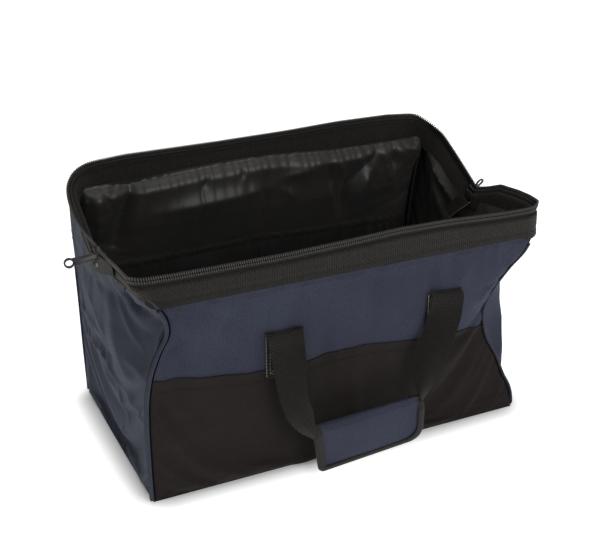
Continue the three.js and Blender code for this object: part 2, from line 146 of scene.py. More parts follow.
# Outer cloth.
# Coated polyester, black to the waist at the front and back and navy everywhere else, lined in black nylon.
# Each wall is stretched between its seams and settled by a cloth simulation, so that it sags and creases.
def thread_pattern():
    """Height and colour streaks of threads, from the cloth's own map in millimetres."""
    group = bpy.data.node_groups.new("thread_pattern", "ShaderNodeTree")
    for name in ("Along", "Across"):
        group.interface.new_socket(name, in_out="INPUT", socket_type="NodeSocketFloat").default_value = 0.8
    for name in ("Height", "Streak"):
        group.interface.new_socket(name, in_out="OUTPUT", socket_type="NodeSocketFloat")
    given, made = group.nodes.new("NodeGroupInput"), group.nodes.new("NodeGroupOutput")
    part = node(group, "SeparateXYZ", {0: node(group, "UVMap", uv_map="mm")})
    counts = [node(group, "Math", {0: part.outputs[axis], 1: given.outputs[socket]}, operation="DIVIDE")
              for axis, socket in (("X", "Along"), ("Y", "Across"))]
    turns = [node(group, "Math", {0: count, 1: 2 * math.pi}, operation="MULTIPLY") for count in counts]
    threads_up = [node(group, "Math", {0: turn}, operation="SINE") for turn in turns]
    cell = node(group, "CombineXYZ", {0: counts[0], 1: counts[1]})
    feed(group, made, {"Height": node(group, "Math", {0: threads_up[0], 1: threads_up[1]}, operation="ADD"),
                       "Streak": node(group, "TexNoise", {"Vector": cell, "Scale": 0.45, "Detail": 2})})
    return group


threads = thread_pattern()


def new_finish(name):
    finish = bpy.data.materials.new(name)
    finish.use_nodes = True
    tree = finish.node_tree
    return finish, tree, tree.nodes["Principled BSDF"], node(tree, "TexCoord").outputs["Object"]


def woven_finish(name, colour, rough, along, across, relief, streak=0.5, blotch=0.12, sheen=0.1, shine=0.2,
                 crinkle=0.0, crinkle_size=45, sheen_tint=(1, 1, 1), groove_shade=0.22):
    """Cloth with threads along and across millimetres apart, in patches, streaks and, with crinkle, small creases;
    groove_shade paints the tops of the threads lighter and the grooves between them darker, as painted shade.
    """
    finish, tree, face, place = new_finish(name)
    pattern = node(tree, "Group", {"Along": along, "Across": across}, node_tree=threads)
    patches = node(tree, "TexNoise", {"Vector": place, "Scale": 20, "Detail": 6})
    # The last of these shades is painted shade: colour follows the thread height, lighter on the tops and darker in the
    # grooves.
    shades = [node(tree, "MapRange", {"Value": source, "From Min": low, "From Max": high,
                                      "To Min": 1 - spread, "To Max": 1 + spread})
              for source, low, high, spread in ((patches, 0.3, 0.7, blotch),
                                                (pattern.outputs["Streak"], 0.25, 0.75, streak),
                                                (pattern.outputs["Height"], -2, 2, groove_shade))]
    first = node(tree, "Math", {0: shades[0], 1: shades[1]}, operation="MULTIPLY")
    shade = node(tree, "Math", {0: first, 1: shades[2]}, operation="MULTIPLY")
    surface = node(tree, "Bump", {"Strength": relief, "Distance": 0.0003, "Height": pattern.outputs["Height"]})
    if crinkle > 0:
        crease = node(tree, "TexNoise", {"Vector": place, "Scale": crinkle_size, "Detail": 4, "Roughness": 0.5})
        surface = node(tree, "Bump", {"Strength": crinkle, "Distance": 0.005, "Height": crease, "Normal": surface})
    feed(tree, face, {"Base Color": node(tree, "VectorMath", {0: colour, "Scale": shade}, operation="SCALE"),
                      "Roughness": rough, "Specular IOR Level": shine, "Sheen Weight": sheen,
                      "Sheen Roughness": 0.45, "Sheen Tint": (*sheen_tint, 1), "Normal": surface})
    return finish


navy_cloth = woven_finish("navy_cloth_weave", (0.0262, 0.0302, 0.0485), 0.72, 0.9, 0.9, 0.3, streak=0.25, sheen=0.06,
                          shine=0.16, crinkle=0.10, groove_shade=0.12, sheen_tint=(0.75, 0.82, 1.0))
black_cloth = woven_finish("black_cloth_weave", (0.0125, 0.0098, 0.0088), 0.75, 0.9, 0.9, 0.35, streak=0.3,
                           groove_shade=0.15, sheen=0.03, shine=0.12, crinkle=0.08, sheen_tint=(1, 0.92, 0.85))
lining_nylon = woven_finish("lining_nylon", (0.0265, 0.0246, 0.0232), 0.46, 0.4, 0.4, 0.05, streak=0.15, sheen=0.04,
                            shine=0.45, crinkle=0.10, crinkle_size=24)


def run_along(line):
    """Distance of each point of a line from its first."""
    return np.r_[0, np.cumsum(np.linalg.norm(np.diff(line, axis=0), axis=1))]


def respaced(line, count):
    """The same line with its points evenly spaced."""
    d = run_along(line)
    even = np.linspace(0, d[-1], count)
    return np.stack([np.interp(even, d, line[:, k]) for k in range(line.shape[1])], axis=1)


def smooth_line(points, count):
    """Evenly spaced points of a smooth curve through the given ones."""
    p = np.array(points, float)
    d = run_along(p)
    t = np.linspace(0, d[-1], 600)
    i = np.clip(np.searchsorted(d, t, side="right") - 1, 0, len(d) - 2)
    h = d[i + 1] - d[i]
    s = ((t - d[i]) / h)[:, None]
    m = np.gradient(p, d, axis=0) if len(p) > 2 else np.repeat((p[1:] - p[:1]) / d[-1], 2, axis=0)
    h = h[:, None]
    return respaced((2 * s**3 - 3 * s**2 + 1) * p[i] + (s**3 - 2 * s**2 + s) * h * m[i]
                    + (-2 * s**3 + 3 * s**2) * p[i + 1] + (s**3 - s**2) * h * m[i + 1], count)


def length_of(points):
    return float(np.linalg.norm(np.diff(np.array(points, float), axis=0), axis=1).sum())


def patch(left, right, bottom, top, step):
    """Rows of points that fill four seams, in millimetres."""
    cols = int(max(length_of(bottom), length_of(top)) / step) + 1
    rows = int(max(length_of(left), length_of(right)) / step) + 1
    a, b = smooth_line(left, rows)[:, None], smooth_line(right, rows)[:, None]
    c, d = smooth_line(bottom, cols)[None], smooth_line(top, cols)[None]
    u = np.linspace(0, 1, cols)[None, :, None]
    v = np.linspace(0, 1, rows)[:, None, None]
    corners = (1 - u) * (1 - v) * c[:, :1] + u * (1 - v) * c[:, -1:] + (1 - u) * v * d[:, :1] + u * v * d[:, -1:]
    return (1 - v) * c + v * d + (1 - u) * a + u * b - corners


def inside(points, reach):
    """0 on the edge of a grid, rising to 1 at reach cells in."""
    rows, cols = points.shape[:2]
    j, i = np.mgrid[0:rows, 0:cols]
    edge = np.minimum(np.minimum(i, cols - 1 - i), np.minimum(j, rows - 1 - j))
    return np.clip(edge / reach, 0, 1)


def waves(points, size, seed):
    """Smooth noise in waves about size millimetres long."""
    flat = points.reshape(-1, 3) / size
    return np.array([noise.noise(Vector((p[0] + seed, p[1] - 2 * seed, p[2] + 3 * seed)))
                     for p in flat]).reshape(points.shape[:2])


def ridge(points, start, end, width):
    """1 along a straight line, falling off to both sides and to its ends."""
    a, b = np.array(start, float), np.array(end, float)
    run = b - a
    t = np.clip(((points - a) @ run) / (run @ run), 0, 1)
    away = np.linalg.norm(points - (a + t[..., None] * run), axis=2)
    return np.exp(-((away / width) ** 1.3)) * np.sin(np.pi * np.clip(t, 0.04, 0.96)) ** 0.5


def folds_on(points, folds, across=None):
    """Folds, each (height, start, end, width), added up; their ends leave out the axis across, where it is given."""
    keep = [k for k in range(3) if k != across]
    return sum(height * ridge(points[..., keep], start, end, width) for height, start, end, width in folds)


def settle(points, slack, frames=24, bend=0.8):
    """Let a cloth fall for a moment with its edge held, slack being its spare cloth."""
    rows, cols = points.shape[:2]
    bm = bmesh.new()
    bmesh.ops.create_grid(bm, x_segments=cols - 1, y_segments=rows - 1, size=0.5)
    for v in bm.verts:
        v.co = Vector(points[round((v.co.y + 0.5) * (rows - 1)), round((v.co.x + 0.5) * (cols - 1))]) * MM
    sheet = piece_of("settling", bm)
    pins = sheet.vertex_groups.new(name="held")
    pins.add([int(k) for k in np.flatnonzero((inside(points, 1) < 0.5).reshape(-1))], 1.0, "REPLACE")
    fall = sheet.modifiers.new("fall", "CLOTH")
    s = fall.settings
    s.quality = 6
    s.mass = 0.25
    s.tension_stiffness = s.compression_stiffness = 20
    s.shear_stiffness = 8
    s.bending_stiffness = bend
    s.tension_damping = 8
    s.bending_damping = 1.0
    s.air_damping = 3.0
    s.shrink_min = -slack
    s.vertex_group_mass = "held"
    fall.collision_settings.use_collision = False
    fall.collision_settings.use_self_collision = False
    fall.point_cache.frame_start = 1
    fall.point_cache.frame_end = frames
    for f in range(1, frames + 1):
        scene.frame_set(f)
    settled = sheet.evaluated_get(bpy.context.evaluated_depsgraph_get())
    co = np.empty(len(settled.to_mesh().vertices) * 3)
    settled.to_mesh().vertices.foreach_get("co", co)
    settled.to_mesh_clear()
    fallen = sheet.data
    bpy.data.objects.remove(sheet)
    bpy.data.meshes.remove(fallen)
    scene.frame_set(1)
    return co.reshape(rows, cols, 3) / MM


def woven(name, points, finish, inner=None, thick=0.9, cuts=(), closed=False, levels=0, sharp=50, upright=False):
    """A cloth piece through rows of points, thickened inwards, with its map in millimetres, in x and z if upright."""
    rows, cols = points.shape[:2]
    along = np.r_[0, np.cumsum(np.linalg.norm(np.diff(points, axis=1), axis=2).mean(axis=0))]
    across = np.r_[0, np.cumsum(np.linalg.norm(np.diff(points, axis=0), axis=2).mean(axis=1))]
    bm = bmesh.new()
    bmesh.ops.create_grid(bm, x_segments=cols - 1, y_segments=rows - 1, size=0.5)
    weave = bm.loops.layers.uv.new("mm")
    where = {v: (round((v.co.y + 0.5) * (rows - 1)), round((v.co.x + 0.5) * (cols - 1))) for v in bm.verts}
    for f in bm.faces:
        f.smooth = True
        for corner in f.loops:
            j, i = where[corner.vert]
            corner[weave].uv = (points[j, i, 0], points[j, i, 2]) if upright else (along[i], across[j])
    for v, (j, i) in where.items():
        v.co = Vector(points[j, i]) * MM
    if closed:
        bmesh.ops.remove_doubles(bm, verts=bm.verts[:], dist=1e-5)
        ends = [e for e in bm.edges if e.is_boundary]
        if ends:
            bmesh.ops.holes_fill(bm, edges=ends, sides=0)
        bmesh.ops.recalc_face_normals(bm, faces=bm.faces[:])
    for point, normal in cuts:
        bmesh.ops.bisect_plane(bm, geom=bm.verts[:] + bm.edges[:] + bm.faces[:], plane_co=Vector(point) * MM,
                               plane_no=Vector(normal), clear_inner=True)
    piece = piece_of(name, bm, *[f for f in (finish, inner) if f])
    if levels:
        fine = piece.modifiers.new("fine", "SUBSURF")
        fine.levels = fine.render_levels = levels
        fine.boundary_smooth = "PRESERVE_CORNERS"
    if thick:
        body = piece.modifiers.new("thickness", "SOLIDIFY")
        body.thickness = thick * MM
        body.offset = -1
        body.material_offset = 1 if inner else 0
        body.material_offset_rim = 0
    made = bpy.data.meshes.new_from_object(piece.evaluated_get(bpy.context.evaluated_depsgraph_get()))
    old = piece.data
    piece.modifiers.clear()
    piece.data = made
    bpy.data.meshes.remove(old)
    made.name = name
    bm = bmesh.new()
    bm.from_mesh(made)
    for e in bm.edges:
        e.smooth = len(e.link_faces) == 2 and e.calc_face_angle(0) < math.radians(sharp)
    bm.to_mesh(made)
    bm.free()
    return piece


def rounded(name, rows, finish, **shape):
    """A closed piece, from rows of points round it."""
    return woven(name, np.array(rows), finish, thick=0, closed=True, **shape)


def normals_of(points):
    """Unit normals of a grid of points, from its columns crossed with its rows."""
    n = np.cross(np.gradient(points, axis=1), np.gradient(points, axis=0))
    return n / np.maximum(np.linalg.norm(n, axis=2), 1e-9)[..., None]


def finer(points):
    """The same grid with a point between every two, on a curve through four."""
    for axis in (0, 1):
        p = np.moveaxis(points, axis, 0)
        q = np.concatenate([2 * p[:1] - p[1:2], p, 2 * p[-1:] - p[-2:-1]])
        out = np.empty((2 * len(p) - 1, *p.shape[1:]))
        out[::2] = p
        out[1::2] = (9 * (q[1:-2] + q[2:-1]) - q[:-3] - q[3:]) / 16
        points = np.moveaxis(out, 0, axis)
    return points


def fit(piece, slot, carrier, *nodes):
    """A piece's material slot, which is not used; the body that carries it, or a bend, which leaves the piece fixed
    where it is made; and the nodes that it stands for.
    """
    if isinstance(carrier, str):
        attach(piece, carrier)
    else:
        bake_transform(piece)
    if nodes:
        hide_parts(*nodes)


CELL = 4.6
# a bend between two bodies, which the cloth is not made to follow: both bodies, and where the bend starts and ends
wall_lean = ("bag_base", "front_wall", (0, 0.028, 0.028), (0, -0.075, 0.075))
frame_corner = ("front_wall", "front_frame", (0, -0.107, 0.2), (0, -0.092, 0.2))
back_fold = ("bag_base", "back_mouth", (0, 0.112, 0.146), (0, 0.108, 0.172))
front_left_seam = [(-202, -112.5, 2), (-202.5, -113, 28), (-202.5, -113, 55), (-202, -112.5, 84), (-200, -111.5, 110),
                   (-194, -110, 136), (-186, -109, 154), (-177.5, -108.5, 170), (-178.5, -110, 183),
                   (-184.5, -111, 196), (-189, -111.3, 203)]
front_right_seam = [(196, -112.6, 1), (201, -112.5, 4), (201, -112.2, 13), (198, -110.8, 26), (191, -108.5, 40),
                    (181.5, -105.5, 64), (168, -102.5, 90), (165.0, -101, 104), (164.0, -101.5, 120), (172, -105, 143),
                    (186, -108, 163.7), (203.5, -110.5, 183), (208.5, -111, 193), (210, -111.3, 201)]
back_left_seam = [(-202, 112.5, 2), (-202.6, 113, 53), (-202.8, 113, 113), (-203.4, 112.5, 158)]
back_left_rise = back_left_seam + [(-205, 109, 190), (-206.6, 101.5, 225), (-207.2, 95.0, 252)]
mirror_x = lambda points: [(-x, y, z) for x, y, z in points]
back_right_rise = mirror_x(back_left_rise)

# Front wall.
# The black lower panel is hemmed and laps over the navy upper panel at the waist, which drops to the right.
# Both pull in towards the end seams, where the wall is slack.
front_bottom = [(-202, -112.5, 2), (-100, -113.6, 2), (0, -113.8, 2), (100, -113.6, 2), (196, -112.6, 1)]
front_top = [(-189, -111.3, 203), (-100, -111.6, 200), (0, -111.8, 200), (100, -111.6, 200), (210, -111.3, 201)]
start = patch(front_left_seam, front_right_seam, front_bottom, front_top, CELL)
start[..., 1] += inside(start, 6) * (1.6 * waves(start, 42, 3.1) - 2.2)
start[..., 1] += inside(start, 3) * folds_on(start, (
    (4.5, (160, -104, 104), (60, -112, 118), 9), (-3.0, (164, -106, 92), (80, -112, 70), 10),
    (-3.0, (166, -106, 132), (110, -112, 150), 9), (-3.5, (-178, -110, 172), (-120, -112, 165), 9),
    (3.0, (-190, -110, 150), (-130, -112, 188), 8), (2.5, (90, -112, 196), (96, -112, 150), 8)))
front_wall = finer(settle(start, 0.012, bend=1.5))
front_wall[..., 1] += inside(front_wall, 4) * folds_on(front_wall, (
    (-1.6, (-174, 188), (-152, 161), 4), (-1.3, (-152, 161), (-145, 181), 4), (1.6, (-166, 160), (-180, 148), 5),
    (1.4, (-110, 186), (-136, 150), 6), (-1.2, (-95, 197), (-82, 162), 7), (1.0, (-150, 190), (-120, 172), 5),
    (1.2, (98, 196), (92, 160), 7), (-1.2, (150, 190), (112, 150), 8), (1.0, (160, 100), (120, 92), 5),
    (-1.5, (160, 60), (140, 30), 7), (-1.2, (-190, 60), (-120, 66), 7), (1.0, (-196, 84), (-130, 76), 6)), across=1)
furthest_out = np.where(front_wall[..., 2] > 192, -111.0, -120.0)
furthest_in = np.interp(front_wall[..., 2], [3, 14, 34], [-113.2, -112.4, -97])
front_wall[..., 1] = np.clip(front_wall[..., 1], furthest_out, furthest_in)
waist_slope, lap_edge, upper_from, lower_to = 0.0705, 104.5, 112, 115


def bend_waist(piece):
    """The slack wall drops the waist line at its left and in front of the left strap."""
    for v in piece.data.vertices:
        x, z = v.co.x / MM, v.co.z / MM
        shift = np.interp(x, [-202, -160, -126, -86, -43, -14, 14, 76, 105, 165],
                          [-4.2, -7, -9.3, -10, -3.5, 1, 3.3, -1.7, -2.5, -2.8])
        v.co.z += shift * math.exp(-(((z - 112) / 22) ** 2)) * MM


piece = woven("front_upper_cloth", front_wall, navy_cloth, lining_nylon,
              cuts=[((0, 0, upper_from), (waist_slope, 0, 1))])
bend_waist(piece)
fit(piece, "navy_cloth", "front_wall", "front_upper_panel")
lap = front_wall.copy()
lap[..., 1] -= 0.5 + 0.9 * np.clip((lap[..., 2] + waist_slope * lap[..., 0] - lap_edge) / 10, 0, 1)
piece = woven("front_lower_cloth", lap, black_cloth, lining_nylon, cuts=[((0, 0, lower_to), (-waist_slope, 0, -1))])
bend_waist(piece)
fit(piece, "black_cloth", "front_wall", "front_lower_panel")
front_inward = -normals_of(front_wall)
sag = front_wall + 2.4 * front_inward
sag[..., 1] += inside(sag, 5) * (4.0 + 5 * waves(sag, 34, 9.2))
sag = finer(settle(sag[::2, ::2], 0.03))
off = ((sag - front_wall) * front_inward).sum(axis=2)
sag += front_inward * np.maximum(2.0 - off, 0)[..., None]
piece = woven("front_lining_cloth", sag[:, ::-1], lining_nylon, thick=0.4)
fit(piece, "lining", "front_wall", "front_lining")

# End walls.
# Navy from the floor to the frame, pulled in at the front seam, with slanting creases towards it.
# It is cut along the line from the pivot to the back fold; the part below stays where it is made, and the part above
# turns with the back.
pivot, fold = Vector((0, -6, 206)), Vector((0, 108, 158))
fold_up = Vector((1, 0, 0)).cross(fold - pivot).normalized()
if fold_up.z < 0:
    fold_up = -fold_up
corner_tops = {"left": [(-195, -107.5, 206.5), (-200, -98, 209.5), (-203.2, -80, 209.5), (-203.6, -60, 208.5)],
               "right": [(211.5, -104, 204), (212, -90, 206), (208, -62, 208)]}
drawn_folds = {"left": ((7.0, (-201, 96, 84), (-200, -86, 112), 5), (6.0, (-201, 40, 74), (-201, -58, 67), 5),
                        (5.0, (-201, 100, 118), (-201, 30, 110), 6), (-9.0, (-200, -30, 186), (-182, -106, 176), 9),
                        (4.0, (-201, -20, 42), (-201, -30, 20), 6)),
               "right": ((4.0, (203, 90, 90), (200, -64, 104), 6), (-3.0, (203, 20, 150), (201, -70, 120), 9),
                         (4.0, (201, 60, 60), (195, -90, 66), 6))}
crisp_folds = {"left": ((-3.2, (111, 123), (15, 114), 4), (-3.4, (90, 84), (24, 94), 4), (-3.4, (28, 95), (-30, 81), 4),
                        (-2.6, (-26, 82), (-100, 78), 5), (-2.4, (-40, 119), (-106, 123), 6),
                        (-2.4, (-12, 73), (-46, 47), 4), (3.0, (60, 102), (-20, 102), 9), (3.2, (20, 60), (-40, 66), 9),
                        (5.0, (-45, 182), (-104, 178), 9), (-2.4, (-62, 186), (-104, 196), 5),
                        (5.0, (84, 166), (-76, 178), 16), (-1.8, (70, 196), (10, 160), 7),
                        (-2.0, (60, 150), (0, 118), 6), (2.0, (20, 150), (-60, 140), 14)), "right": ()}
end_walls = {}
for side, s in (("left", -1), ("right", 1)):
    seam, rear = (front_left_seam, back_left_rise) if s < 0 else (front_right_seam, back_right_rise)
    low = [seam[0], (s * 203.0, -60, 2), (s * 203.2, 0, 2), (s * 203.0, 60, 2), rear[0]]
    top = [seam[-1], *corner_tops[side], (s * 203.8, -35, 206), (s * 205, -8, 204), (s * 207.6, 30, 221),
           (s * 208.0, 62, 238), rear[-1]]
    start = patch(seam, rear, low, top, CELL)
    back_off = np.r_[0, np.cumsum(np.linalg.norm(np.diff(start, axis=1), axis=2).mean(axis=0))][None, :]
    dent = np.clip(203.4 - s * start[:, :1, 0], 0, 60)
    spread = np.interp(start[..., 2], [70, 105, 130, 160], [7, 8.5, 14, 22]) if s > 0 else 34.0
    belly = np.interp(start[..., 2], [20, 60, 110, 150], [1, 6, 6, 0]) if s > 0 else 0
    full = s * (203.6 + belly * np.clip(back_off / 22, 0, 1) * np.clip((150 - back_off) / 100, 0, 1)
                - dent * np.exp(-(back_off / spread) ** (1.25 if s > 0 else 1.0)))
    height = np.linspace(0, 1, start.shape[0])[:, None]
    share = np.clip(height / 0.12, 0, 1) * np.clip((0.97 - height) / 0.25, 0, 1) * inside(start, 1)
    start[..., 0] += share * (full - start[..., 0])
    start[..., 0] += s * (inside(start, 5) * (1.5 * waves(start, 40, 7.7 if s < 0 else 1.9) - 1.5)
                          + inside(start, 3) * folds_on(start, drawn_folds[side]))
    end_wall = finer(settle(start, 0.012, bend=1.2))
    end_wall[..., 0] += inside(end_wall, 6) * folds_on(end_wall, crisp_folds[side], across=0)
    end_wall[..., 0] = s * np.clip(np.abs(end_wall[..., 0]), 155, 211 if s > 0 else 209)
    rows = end_walls[side] = end_wall if s > 0 else end_wall[:, ::-1]
    piece = woven(f"{side}_end_cloth", rows, navy_cloth, lining_nylon, cuts=[(pivot, -fold_up)])
    fit(piece, "navy_cloth", wall_lean, f"{side}_end_panel", f"{side}_gusset_fold", f"front_{side}_gusset")
    piece = woven(f"{side}_back_gusset_cloth", rows, navy_cloth, lining_nylon, cuts=[(pivot, fold_up)])
    fit(piece, "navy_cloth", "back_mouth", f"back_{side}_gusset")

# Back wall.
# One cloth up the back, bent at the fold line above the pockets; black to the waist and navy above.
# It may bulge outwards, but sinks in by less than 2 mm, so that it stays behind its lining.
back_bottom = [(202, 112.5, 2), (100, 113.6, 2), (0, 113.8, 2), (-100, 113.6, 2), (-202, 112.5, 2)]
back_top = [(207.2, 95.0, 252), (100, 94.6, 252), (0, 94.4, 252), (-100, 94.6, 252), (-207.2, 95.0, 252)]
most_sunk = 1.8
back_rest = patch(back_right_rise, back_left_rise, back_bottom, back_top, CELL)
start = back_rest.copy()
start[..., 1] += inside(start, 6) * (2.0 * waves(start, 45, 5.3) + 1.0)
back_wall = settle(start, 0.01, bend=1.5)
sunk = back_wall[..., 1] - back_rest[..., 1]
back_wall[..., 1] = back_rest[..., 1] + np.where(sunk < 0, most_sunk * np.tanh(sunk / most_sunk), sunk)
piece = woven("back_upper_cloth", back_wall, navy_cloth, lining_nylon, cuts=[((0, 0, 110), (0, 0, 1))], levels=1)
fit(piece, "navy_cloth", back_fold, "back_middle_panel", "back_upper_panel")
lap = back_wall.copy()
lap[..., 1] += 0.5 + 0.9 * np.clip((lap[..., 2] - 103) / 8, 0, 1)
piece = woven("back_lower_cloth", lap, black_cloth, lining_nylon, cuts=[((0, 0, 113), (0, 0, -1))], levels=1)
fit(piece, "black_cloth", "bag_base", "back_lower_panel")

# Inside lining.
# Loose black nylon, sewn in under the hems and gathered there; it hangs in folds behind the pocket row.
# At the back it is tacked down in line with the pocket seams, so it pillows between them.
lining_top = [(198, 87.2, 250), (150, 86.9, 249), (86, 86.6, 249), (0, 86.4, 253), (-60, 86.6, 252), (-140, 87.0, 247),
              (-198, 87.6, 245)]
lining_low = [(197, 107.5, 151), (100, 108.6, 151), (0, 108.6, 151), (-100, 108.6, 151), (-197, 107.5, 151)]
hang = patch([(197, 107.5, 151), (198, 103.5, 190), (198, 96, 225), (198, 87.2, 250)],
             [(-197, 107.5, 151), (-198, 103.5, 190), (-198, 96, 222), (-198, 87.6, 245)],
             lining_low, lining_top, CELL * 0.85)
start = hang.copy()
puff = 2.0 + 5.0 * waves(start * np.array([1, 1, 1.6]), 60, 2.6)
start[..., 1] -= inside(start, 3) * np.clip((start[..., 2] - 146) / 40, 0, 1) * puff
hung = finer(settle(start, 0.02, frames=26, bend=0.35))
x, z = hung[..., 0], hung[..., 2]
rest = finer(hang)
below = np.interp(x, [-198, -150, -88, -4, 86, 198], [242, 242, 246, 250, 245, 247]) - z
shelf = 13.0 * (1 - np.exp(-np.clip(below, 0, 200) / 6.0)) * (0.25 + 0.75 * np.exp(-np.clip(below - 10, 0, 200) / 14))
shelf = shelf * (0.9 + 0.5 * waves(hung * np.array([1, 0, 0]), 33, 8.1))
gathers = np.sin(x / 3.1 + 2.2 * np.sin(x / 17.0)) * (0.6 + 0.4 * np.sin(x / 41.0)) * np.exp(-np.abs(below - 6) / 7)
folds = shelf + 0.4 * gathers + folds_on(hung, (
    (-14, (-146, 236), (-167, 166), 8), (9, (-182, 236), (-182, 180), 9), (6, (-134, 230), (-150, 180), 7),
    (17, (-120, 208), (4, 217), 13), (5, (20, 214), (44, 196), 7), (-4, (2, 232), (1, 156), 3.5),
    (-12, (102, 216), (103, 153), 7), (8, (84, 214), (92, 170), 6), (6, (150, 226), (170, 180), 8),
    (7, (60, 232), (20, 226), 8), (-6, (140, 242), (105, 203), 5), (-7, (74, 236), (101, 166), 6),
    (10, (130, 216), (112, 176), 7), (4, (91, 233), (96, 217), 5), (-5, (159, 242), (160, 212), 4),
    (-4, (-65, 240), (-70, 228), 2.6), (-4, (-24, 243), (-28, 233), 2.6), (4, (190, 242), (189, 219), 6),
    (-4, (-176, 239), (-170, 224), 3)), across=1)
depth = np.clip(rest[..., 1] - hung[..., 1] + folds, 0, None) * np.clip((z - 153) / 40, 0, 1)
clearance = 1.2 + 34 * np.clip((z - 153) / 55, 0, 1) ** 1.1
hung[..., 1] = rest[..., 1] - inside(hung, 2) * clearance * np.tanh(depth / clearance)
piece = woven("back_upper_lining_cloth", hung, lining_nylon, thick=0.4)
fit(piece, "lining", back_fold, "back_upper_lining")
flat_low = patch([(197, 109.6, 5), (197, 108.5, 153)], [(-197, 109.6, 5), (-197, 108.5, 153)],
                 [(197, 109.6, 5), (0, 110.4, 5), (-197, 109.6, 5)],
                 [(197, 108.5, 153), (0, 109.6, 153), (-197, 108.5, 153)], CELL * 1.5)
flat_low[..., 1] -= inside(flat_low, 4) * (1.0 + waves(flat_low, 30, 4.4))
piece = woven("back_lower_lining_cloth", flat_low, lining_nylon, thick=0.4, levels=1)
fit(piece, "lining", "bag_base", "back_lower_lining")

# Pocket row.
# A long nylon strip sewn to the lining at its ends and at three seams, with elastic in its top hem.
# The elastic draws it into small pleats, and the strip stands off the wall between the seams.
pocket_seams = (-189.6, -103.0, 3.0, 107.0, 189.6)
pocket_low, pocket_high = 20, 143.5
cols, rows = (300), 26
px = np.linspace(-190, 190, cols)[None, :].repeat(rows, 0)
pz = np.linspace(pocket_low, pocket_high, rows)[:, None].repeat(cols, 1)
bay = np.zeros_like(px)
for a, b in zip(pocket_seams[:-1], pocket_seams[1:]):
    bay = np.where((px >= a) & (px <= b), np.sin(np.pi * np.clip((px - a) / (b - a), 0, 1)) ** 0.35, bay)
high = (pz - pocket_low) / (pocket_high - pocket_low)
pz = pz + 4.5 * high * np.exp(-((px - 3) / 75) ** 2)
pleats = np.sin(px / 1.9 + 1.7 * np.sin(px / 9.0)) * (0.5 + 0.5 * np.sin(px / 23.0 + 1)) * high**5
belly = 4.9 * bay * (0.62 + 0.38 * np.sin(np.pi * np.clip(high, 0, 1)) ** 0.7)
py = 108.2 - belly - 0.75 * pleats * bay - 0.8 * waves(np.stack([px, pz, pz], axis=2), 26, 3.3) * bay
pocket_points = np.stack([px, py, pz], axis=2)[:, ::-1]
# The pocket nylon is the lining nylon at about half its brightness: painted shade for the depth of the bag.
shaded_pocket_nylon = woven_finish("shaded_pocket_nylon", (0.0135, 0.0125, 0.0118), 0.5, 0.4, 0.4, 0.05, streak=0.15, sheen=0.02,
                            shine=0.3, crinkle=0.08, crinkle_size=30)
piece = woven("pocket_row_cloth", pocket_points, shaded_pocket_nylon, thick=0.4)
fit(piece, "lining", "bag_base", "pocket_row")
rim = pocket_points[-1]
band = []
for off, rise in ((0.9, -0.5), (1.3, 1.0), (1.3, 3.0), (1.2, 5.0), (0.9, 6.3), (0.2, 6.9), (-0.4, 6.3), (-0.5, 4.0),
                  (-0.4, 0.5), (0.3, -0.4)):
    row = rim + np.array([0, -off, rise])
    row[:, 1] -= 0.14 * np.sin(rim[:, 0] / 1.4) * (1 if off > 0.5 else 0.4)
    band.append(row)
elastic_cloth = woven_finish("elastic_hem", (0.0125, 0.0112, 0.010), 0.6, 1.2, 2.0, 0.3, sheen=0.1, shine=0.2)
piece = rounded("pocket_elastic_hem", band + band[:1], elastic_cloth)
fit(piece, "black_cloth", "bag_base", "pocket_elastic")

# Hems of the mouth.
# Ribbed polyester webbing folded over each steel wire, outside and inside, and stitched below it.
# The front one stays where it is made; the back one turns with the whole back mouth.
webbing = woven_finish("ribbed_webbing", (0.0112, 0.0097, 0.0078), 0.62, 2.4, 1.1, 0.9, streak=0.35, blotch=0.15,
                       sheen=0.06, shine=0.2, sheen_tint=(1, 0.95, 0.85), groove_shade=0.7)
front_half, back_half = 202.8, 209.1
front_corner_y, back_corner_y = -109, 90.25
wire_step = 2.6


def bend_through(a, turn, b, count):
    """Points of a bend from a to b, drawn towards the corner."""
    return [(1 - t) ** 2 * a + 2 * t * (1 - t) * turn + t * t * b for t in np.linspace(0, 1, count)]


def u_line(half, corner, tip, bow):
    """Wire line from the left pivot round both corners to the right one; corner and tip are (y, z)."""
    ends = [np.array((s * half, *tip), float) for s in (-1, 1)]
    turns = [np.array((s * half, *corner), float) for s in (-1, 1)]
    line = [ends[0]]
    for near, turn, far in ((ends[0], turns[0], turns[1]), (turns[0], turns[1], ends[1])):
        line += bend_through(turn + (near - turn) / np.linalg.norm(near - turn) * bow, turn,
                             turn + (far - turn) / np.linalg.norm(far - turn) * bow, 12)
    line = np.array(line + [ends[1]])
    return respaced(line, int(run_along(line)[-1] / wire_step) + 1)


def standing(line, lean_mid, lean_arm, corner_y, tip_y):
    """Directions up and out at each place on a wire line, and how far along its arm the place is."""
    t = np.gradient(line, axis=0)
    t /= np.linalg.norm(t, axis=1)[:, None]
    on_arm = np.clip(np.abs(line[:, 1] - corner_y) / 14, 0, 1)
    lean = lean_mid + (lean_arm - lean_mid) * on_arm
    up = np.stack([np.zeros_like(lean), -np.sin(lean), np.cos(lean)], axis=1)
    out = np.cross(t, up)
    out /= np.linalg.norm(out, axis=1)[:, None]
    return up, out, np.clip(np.abs(line[:, 1] - corner_y) / abs(tip_y - corner_y), 0, 1)


